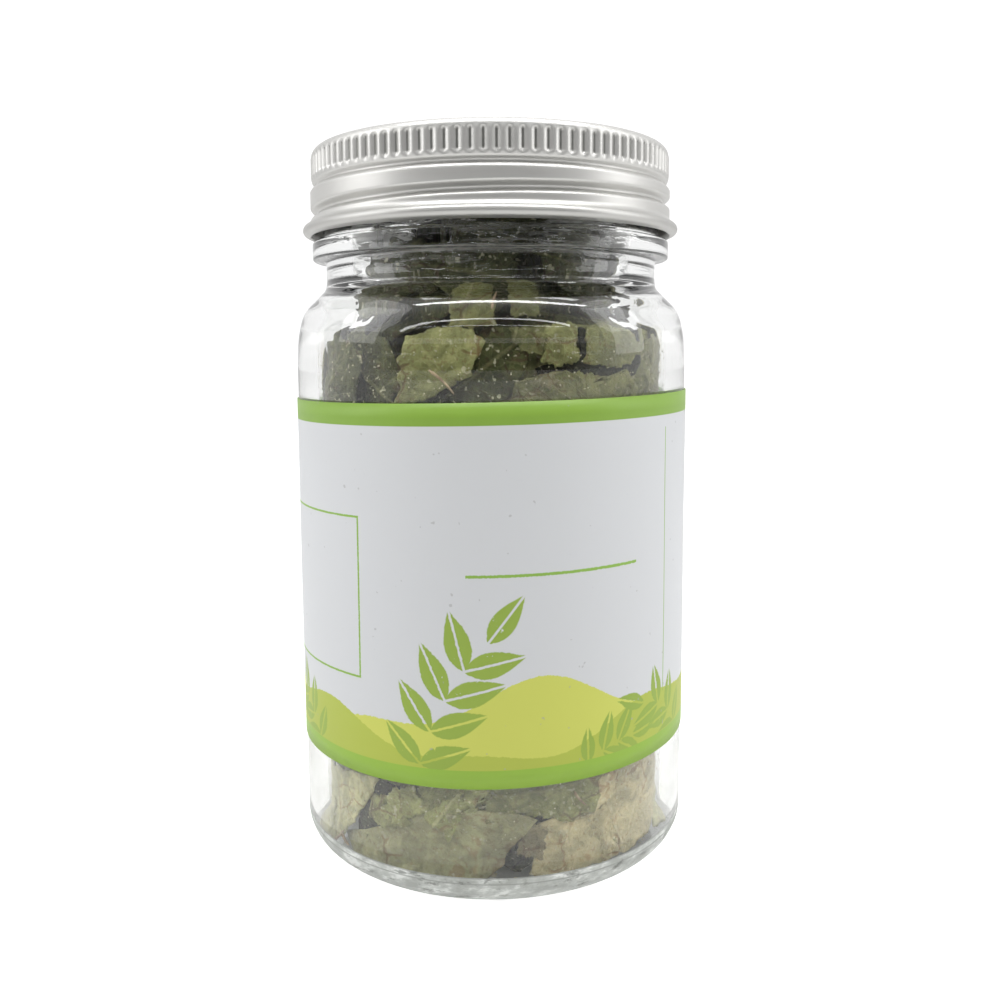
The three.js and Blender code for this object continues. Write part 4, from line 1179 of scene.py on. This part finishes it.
def chipSheet(chip, chipId):
    shape = chipShape
    line = np.linspace(-1, 1, shape["steps"] + 1)
    u, v = np.meshgrid(line, line, indexing="ij")
    reach, way = np.maximum(np.abs(u), np.abs(v)), np.arctan2(v, u)
    corners = np.array(chip["corners"], float)
    share = np.linspace(0, 1, shape["edgeSteps"], endpoint=False)[:, None]
    walk = np.concatenate([a + (b - a) * share for a, b in zip(corners, np.roll(corners, -1, axis=0))])
    bearing = np.arctan2(walk[:, 1], walk[:, 0])
    order = np.argsort(bearing)
    edge = np.interp(way, bearing[order], np.hypot(walk[:, 0], walk[:, 1])[order], period=math.tau)
    for k, size in enumerate(shape["nicks"]):
        edge = edge + size * np.sin((9 + 14 * k) * way + 6 * draw(chipId, k))
    around, up = reach * edge * np.cos(way), reach * edge * np.sin(way)
    lean = math.radians(chip["vein"])
    offset = chip["offset"]
    if offset is None:
        offset = between(*shape["offset"], draw(chipId, 5))
    along = around * math.cos(lean) + up * math.sin(lean)
    across = up * math.cos(lean) - around * math.sin(lean) + offset
    z = chip["height"] + up
    wall = wallAt(z)
    folds = creases(along, across, chipId + 0.3, shape["creaseSize"])
    folds = folds + 0.45 * creases(along, across, chipId + 0.6, shape["smallCreaseSize"])
    relief = chip["crumple"] * (folds - 0.6) + shape["rib"] * np.exp(-(across / fineLeaf["ribWidth"]) ** 2)
    liftWay = 7 * draw(chipId, 6)
    lift = shape["lift"] * (around * math.cos(liftWay) + up * math.sin(liftWay)) / edge.max()
    radius = np.minimum(wall + chip["out"] + relief + lift - 0.1, wall + shape["reach"])
    angle = math.radians(chip["bearing"]) + around / wallAt(chip["height"])
    return np.stack([radius * np.cos(angle), radius * np.sin(angle), z], -1), along, across


def makeBroken():
    sheets = {}
    for k, row in enumerate(chips):
        chip = dict(zip(chipColumns, row))
        sheets.setdefault(chip["kind"], []).append((*chipSheet(chip, 400 + k), chip["tone"]))
    some = strewn
    for k in range(some["count"]):
        angle = some["start"] + some["sweep"] * ((k + draw(k, 82)) / some["count"])
        kind = some["kinds"][int(len(some["kinds"]) * draw(k, 86))]
        # it lies alone, so it laps over nothing
        leaf = {"id": 300 + k, "ring": {"lap": 0.0, "side": 1}, "radius": wallRadius, "angle": angle,
                "start": angle, "step": 36.0, "cup": 0.0, "turn": 6 * draw(k, 88),
                "height": between(*some["foot" if k % 2 else "shoulder"], draw(k, 81)),
                "grid": fineLeaf["strewnGrid"]}
        for name, channel in (("lean", 83), ("length", 84), ("width", 85), ("out", 87)):
            leaf[name] = between(*some[name], draw(k, channel))
        leaf.update({name: some[name] for name in ("torn", "first", "wave", "flat")})
        sheets.setdefault(kind, []).append((*leafSheet(leaf), between(*some["tone"], draw(k, 89))))
    for kind, made in sheets.items():
        piece = leafObject(f"brokenLeaves_{kind}", made, leafMaterials[kind])
        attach(piece, "jar")
        "leaf_" + kind


makeBroken()


# stalk bits

stalkLook = {"light": (0.46, 0.35, 0.21), "deep": (0.22, 0.15, 0.085), "roughness": 0.5, "radius": 0.22,
             "taper": 0.45, "tip": 0.35, "sway": 0.25, "sink": 0.35, "bend": 0.12, "grain": 900.0,
             "rings": 9, "sides": 8}
# angle, height, lean, length, distance from the axis
stalkBits = [(256.2, 71.8, -44, 4.6, 27.1), (271, 81.6, 86, 2.6, 24.6), (214.5, 4.9, 48, 3.4, 26.7),
             (218.5, 5.1, -30, 2.4, 26.8), (296, 13.6, -60, 3.0, 26.7), (60, 73, 30, 6, 26.7),
             (120, 9, -40, 7, 26.6), (180, 74, -60, 5, 26.7), (10, 10, 60, 6, 26.6), (150, 76, 10, 5, 26.7)]


def makeStalks():
    look = stalkLook
    material, g, shader = makeMaterial("driedStalk", Specular_IOR_Level=0.35)
    streak = g.noise(g.place(), look["grain"], 3.0, 0.6)
    tone = g.mix(g.smooth(streak, 0.35, 0.65), look["deep"], look["light"])
    paint(g, shader, tone, look["roughness"] + streak * 0.2)
    bumpInto(g, shader, streak, 0.5, 0.0001)
    vertices, faces = [], []
    rings, sides = look["rings"], look["sides"]
    for k, (angle, height, lean, length, radius) in enumerate(stalkBits):
        a, tilt = math.radians(angle), math.radians(lean)
        out = Vector((math.cos(a), math.sin(a), 0))
        tangent = Vector((-math.sin(a), math.cos(a), 0))
        along = tangent * math.cos(tilt) + Vector((0, 0, 1)) * math.sin(tilt)
        across = out.cross(along)
        middle = out * (radius - look["sink"]) + Vector((0, 0, height))
        base = len(vertices)
        for i in range(rings):
            share = i / (rings - 1)
            centre = middle + along * (share - 0.5) * length + across * look["sway"] * math.sin(3 * share + k)
            centre = centre - out * look["bend"] * ((share - 0.5) * length) ** 2 / radius
            tip = look["tip"] if i in (0, rings - 1) else 1.0
            thick = look["radius"] * (1.0 - look["taper"] * share) * tip
            for j in range(sides):
                b = math.tau * j / sides
                vertices.append((centre + (out * math.cos(b) + across * math.sin(b)) * thick) * mm)
        for i in range(rings - 1):
            for j in range(sides):
                p, q = base + i * sides + j, base + i * sides + (j + 1) % sides
                faces.append((p, p + sides, q + sides, q))
        faces.append(tuple(base + j for j in range(sides)))
        faces.append(tuple(base + (rings - 1) * sides + j for j in reversed(range(sides))))
    piece = makeObject("driedStalks", vertices, faces, material)
    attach(piece, "jar")


makeStalks()


# crumbs

# sizes in metres and pieces to the square metre, as the tree takes them
wallCrumbs = {"Density": 4.0e5, "Smallest": 0.0001, "Largest": 0.00028, "Flatness": 0.5}
floorCrumbs = {"Density": 3.0e5, "Smallest": 0.00025, "Largest": 0.0011, "Flatness": 0.25}
crumbLook = {"deep": (0.22, 0.2, 0.12), "light": (0.75, 0.7, 0.5), "roughness": 0.6, "grain": 420.0,
             "narrowest": 0.45}
# where they lie, in millimetres: strips of the wall with the seed of each, and the floor
crumbPlaces = {"strips": [(70.0, 76.0, 31), (7.2, 17.0, 32)], "wallGap": 0.06, "floorGap": 0.12,
               "floorReach": 24.0, "floorSeed": 33, "columns": 64}


def crumbTree():
    # flakes scattered over a surface
    g, value = startTree("crumbScatter", ("Density", "Smallest", "Largest", "Flatness"), ("Seed",))

    def chance(low, high, seed):
        return g.add("FunctionNodeRandomValue", {"data_type": "FLOAT"}, out=1, in2=low, in3=high, seed=seed)

    points = g.add("GeometryNodeDistributePointsOnFaces", mesh=value["Geometry"], density=value["Density"],
                   seed=value["Seed"])
    upright = Wire(g, points.socket.node.outputs["Rotation"])
    flake = g.add("GeometryNodeMeshIcoSphere", radius=0.5, subdivisions=1)
    size = chance(value["Smallest"], value["Largest"], value["Seed"])
    spin = chance(0.0, math.tau, 7)
    stretch = chance(crumbLook["narrowest"], 1.0, 11)
    turn = g.add("FunctionNodeRotateRotation", {"rotation_space": "LOCAL"}, in0=upright,
                 in1=g.join(0.0, 0.0, spin))
    copies = g.add("GeometryNodeInstanceOnPoints", points=points, instance=flake, rotation=turn,
                   scale=g.join(size, size * stretch, size * value["Flatness"]))
    return endTree(g, copies, value["Material"])


def makeCrumbs():
    look, where = crumbLook, crumbPlaces
    material, g, shader = makeMaterial("leafCrumbs", Specular_IOR_Level=0.3)
    cloud = g.noise(g.place(), look["grain"], 2.0, 0.5)
    tone = g.mix(g.smooth(cloud, 0.35, 0.65), look["deep"], look["light"])
    paint(g, shader, tone, look["roughness"] + cloud * 0.2)
    tree = crumbTree()
    columns = where["columns"]

    # a strip of the wall in each window, facing the axis, and the floor
    inside = jarSizes["bodyRadius"] - jarSizes["wall"] - where["wallGap"]
    band = [(k, k + columns, (k + 1) % columns + columns, (k + 1) % columns) for k in range(columns)]
    jobs = [(f"wallCrumbs_{seed}", circle(inside, low, columns) + circle(inside, high, columns), band,
             wallCrumbs, seed) for low, high, seed in where["strips"]]
    disc = circle(where["floorReach"], jarSizes["floor"] + where["floorGap"], columns)
    jobs.append(("floorCrumbs", disc, [tuple(range(columns))], floorCrumbs, where["floorSeed"]))
    for name, vertices, faces, values, seed in jobs:
        crumbs = makeObject(name, vertices, faces)
        runTree(crumbs, tree, {**values, "Seed": seed, "Material": material})
        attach(crumbs, "jar")


makeCrumbs()
print("leaves made")


# studio

# lengths in metres; how far the floor glows and how bright the air is on each side
studio = {"floor": (0.79, 0.79, 0.785), "floorRadius": 4.0, "floorSides": 96, "floorGlow": 0.55,
          "farGlow": 0.27, "farFrom": 0.3, "farTo": 0.9, "around": 0.94, "front": 0.15, "dusk": 0.03,
          "backdrop": 1.12}
# power, width and height of each lamp, where it stands and what it faces
softboxes = {
    "keyBox": (2.3, 0.5, 0.7, (-0.85, -0.12, 0.5), (0, 0, 0.05)),
    "fillBox": (1.8, 0.4, 0.7, (0.85, -0.08, 0.45), (0, 0, 0.05)),
    "topBox": (0.3, 0.6, 0.6, (0.0, 0.15, 0.95), (0, 0, 0.05)),
    "highStrip": (5.8, 1.04, 0.1, (0.09, -0.11, 0.85), (0.09, 0, 0.09)),
    "lowStrip": (1.2, 1.6, 0.022, (-0.1, -0.66, 0.46), (-0.1, 0, 0.08)),
}


def makeFloor():
    material, g, shader = makeMaterial("paleFloor", Roughness=0.75, Emission_Strength=1.0)
    place = g.place()
    # looked at straight it is white, and through the glass its far part is as light as the air above it
    x, y, z = g.split(place)
    far = g.smooth(g.reach(x, y), studio["farFrom"], studio["farTo"]) * studio["farGlow"]
    seen, throughGlass = g.add("ShaderNodeLightPath", out=0), g.add("ShaderNodeLightPath", out=6)
    glow = seen * studio["floorGlow"] + throughGlass * far
    g.put(shader.inputs["Emission Color"], g.join(glow, glow, glow))
    deeper = tuple(c * 0.99 for c in studio["floor"])
    g.put(shader.inputs["Base Color"], g.mix(g.noise(place, 6.0, 3.0, 0.5), deeper, studio["floor"]))
    sides = studio["floorSides"]
    ring = circle(studio["floorRadius"] / mm, 0, sides)
    floor = makeObject("floor", ring, [tuple(range(sides))], material, smooth=False)


def makeAir():
    # white air all round, with a darker strip along the horizon in front so that glass stays clear
    world = bpy.data.worlds.new("studioAir")
    bpy.context.scene.world = world
    world.use_nodes = True
    air = Graph(world.node_tree)
    x, y, z = air.split(air.add("ShaderNodeTexCoord", out=0))
    ahead = air.smooth(y, -0.15, -0.75)
    level = air.smooth(abs(z), 0.3, 0.1)
    front = studio["front"] + level * (studio["dusk"] - studio["front"])
    strength = studio["around"] + ahead * (front - studio["around"])
    seen = air.add("ShaderNodeLightPath", out=0)
    strength = strength + seen * (studio["backdrop"] - strength)
    background = world.node_tree.nodes["Background"]
    background.inputs["Color"].default_value = (1.0, 1.0, 1.0, 1.0)
    air.put(background.inputs["Strength"], strength)


def makeLamps():
    for name, (power, width, height, place, target) in softboxes.items():
        data = bpy.data.lights.new(name, "AREA")
        data.shape = "RECTANGLE"
        data.size, data.size_y = width, height
        data.energy = power
        lamp = bpy.data.objects.new(name, data)
        bpy.context.scene.collection.objects.link(lamp)
        lamp.location = place
        lamp.rotation_euler = (Vector(target) - Vector(place)).to_track_quat("-Z", "Y").to_euler()


makeFloor()
makeAir()
makeLamps()
bpy.context.scene.view_settings.view_transform = "Standard"
print("studio made")
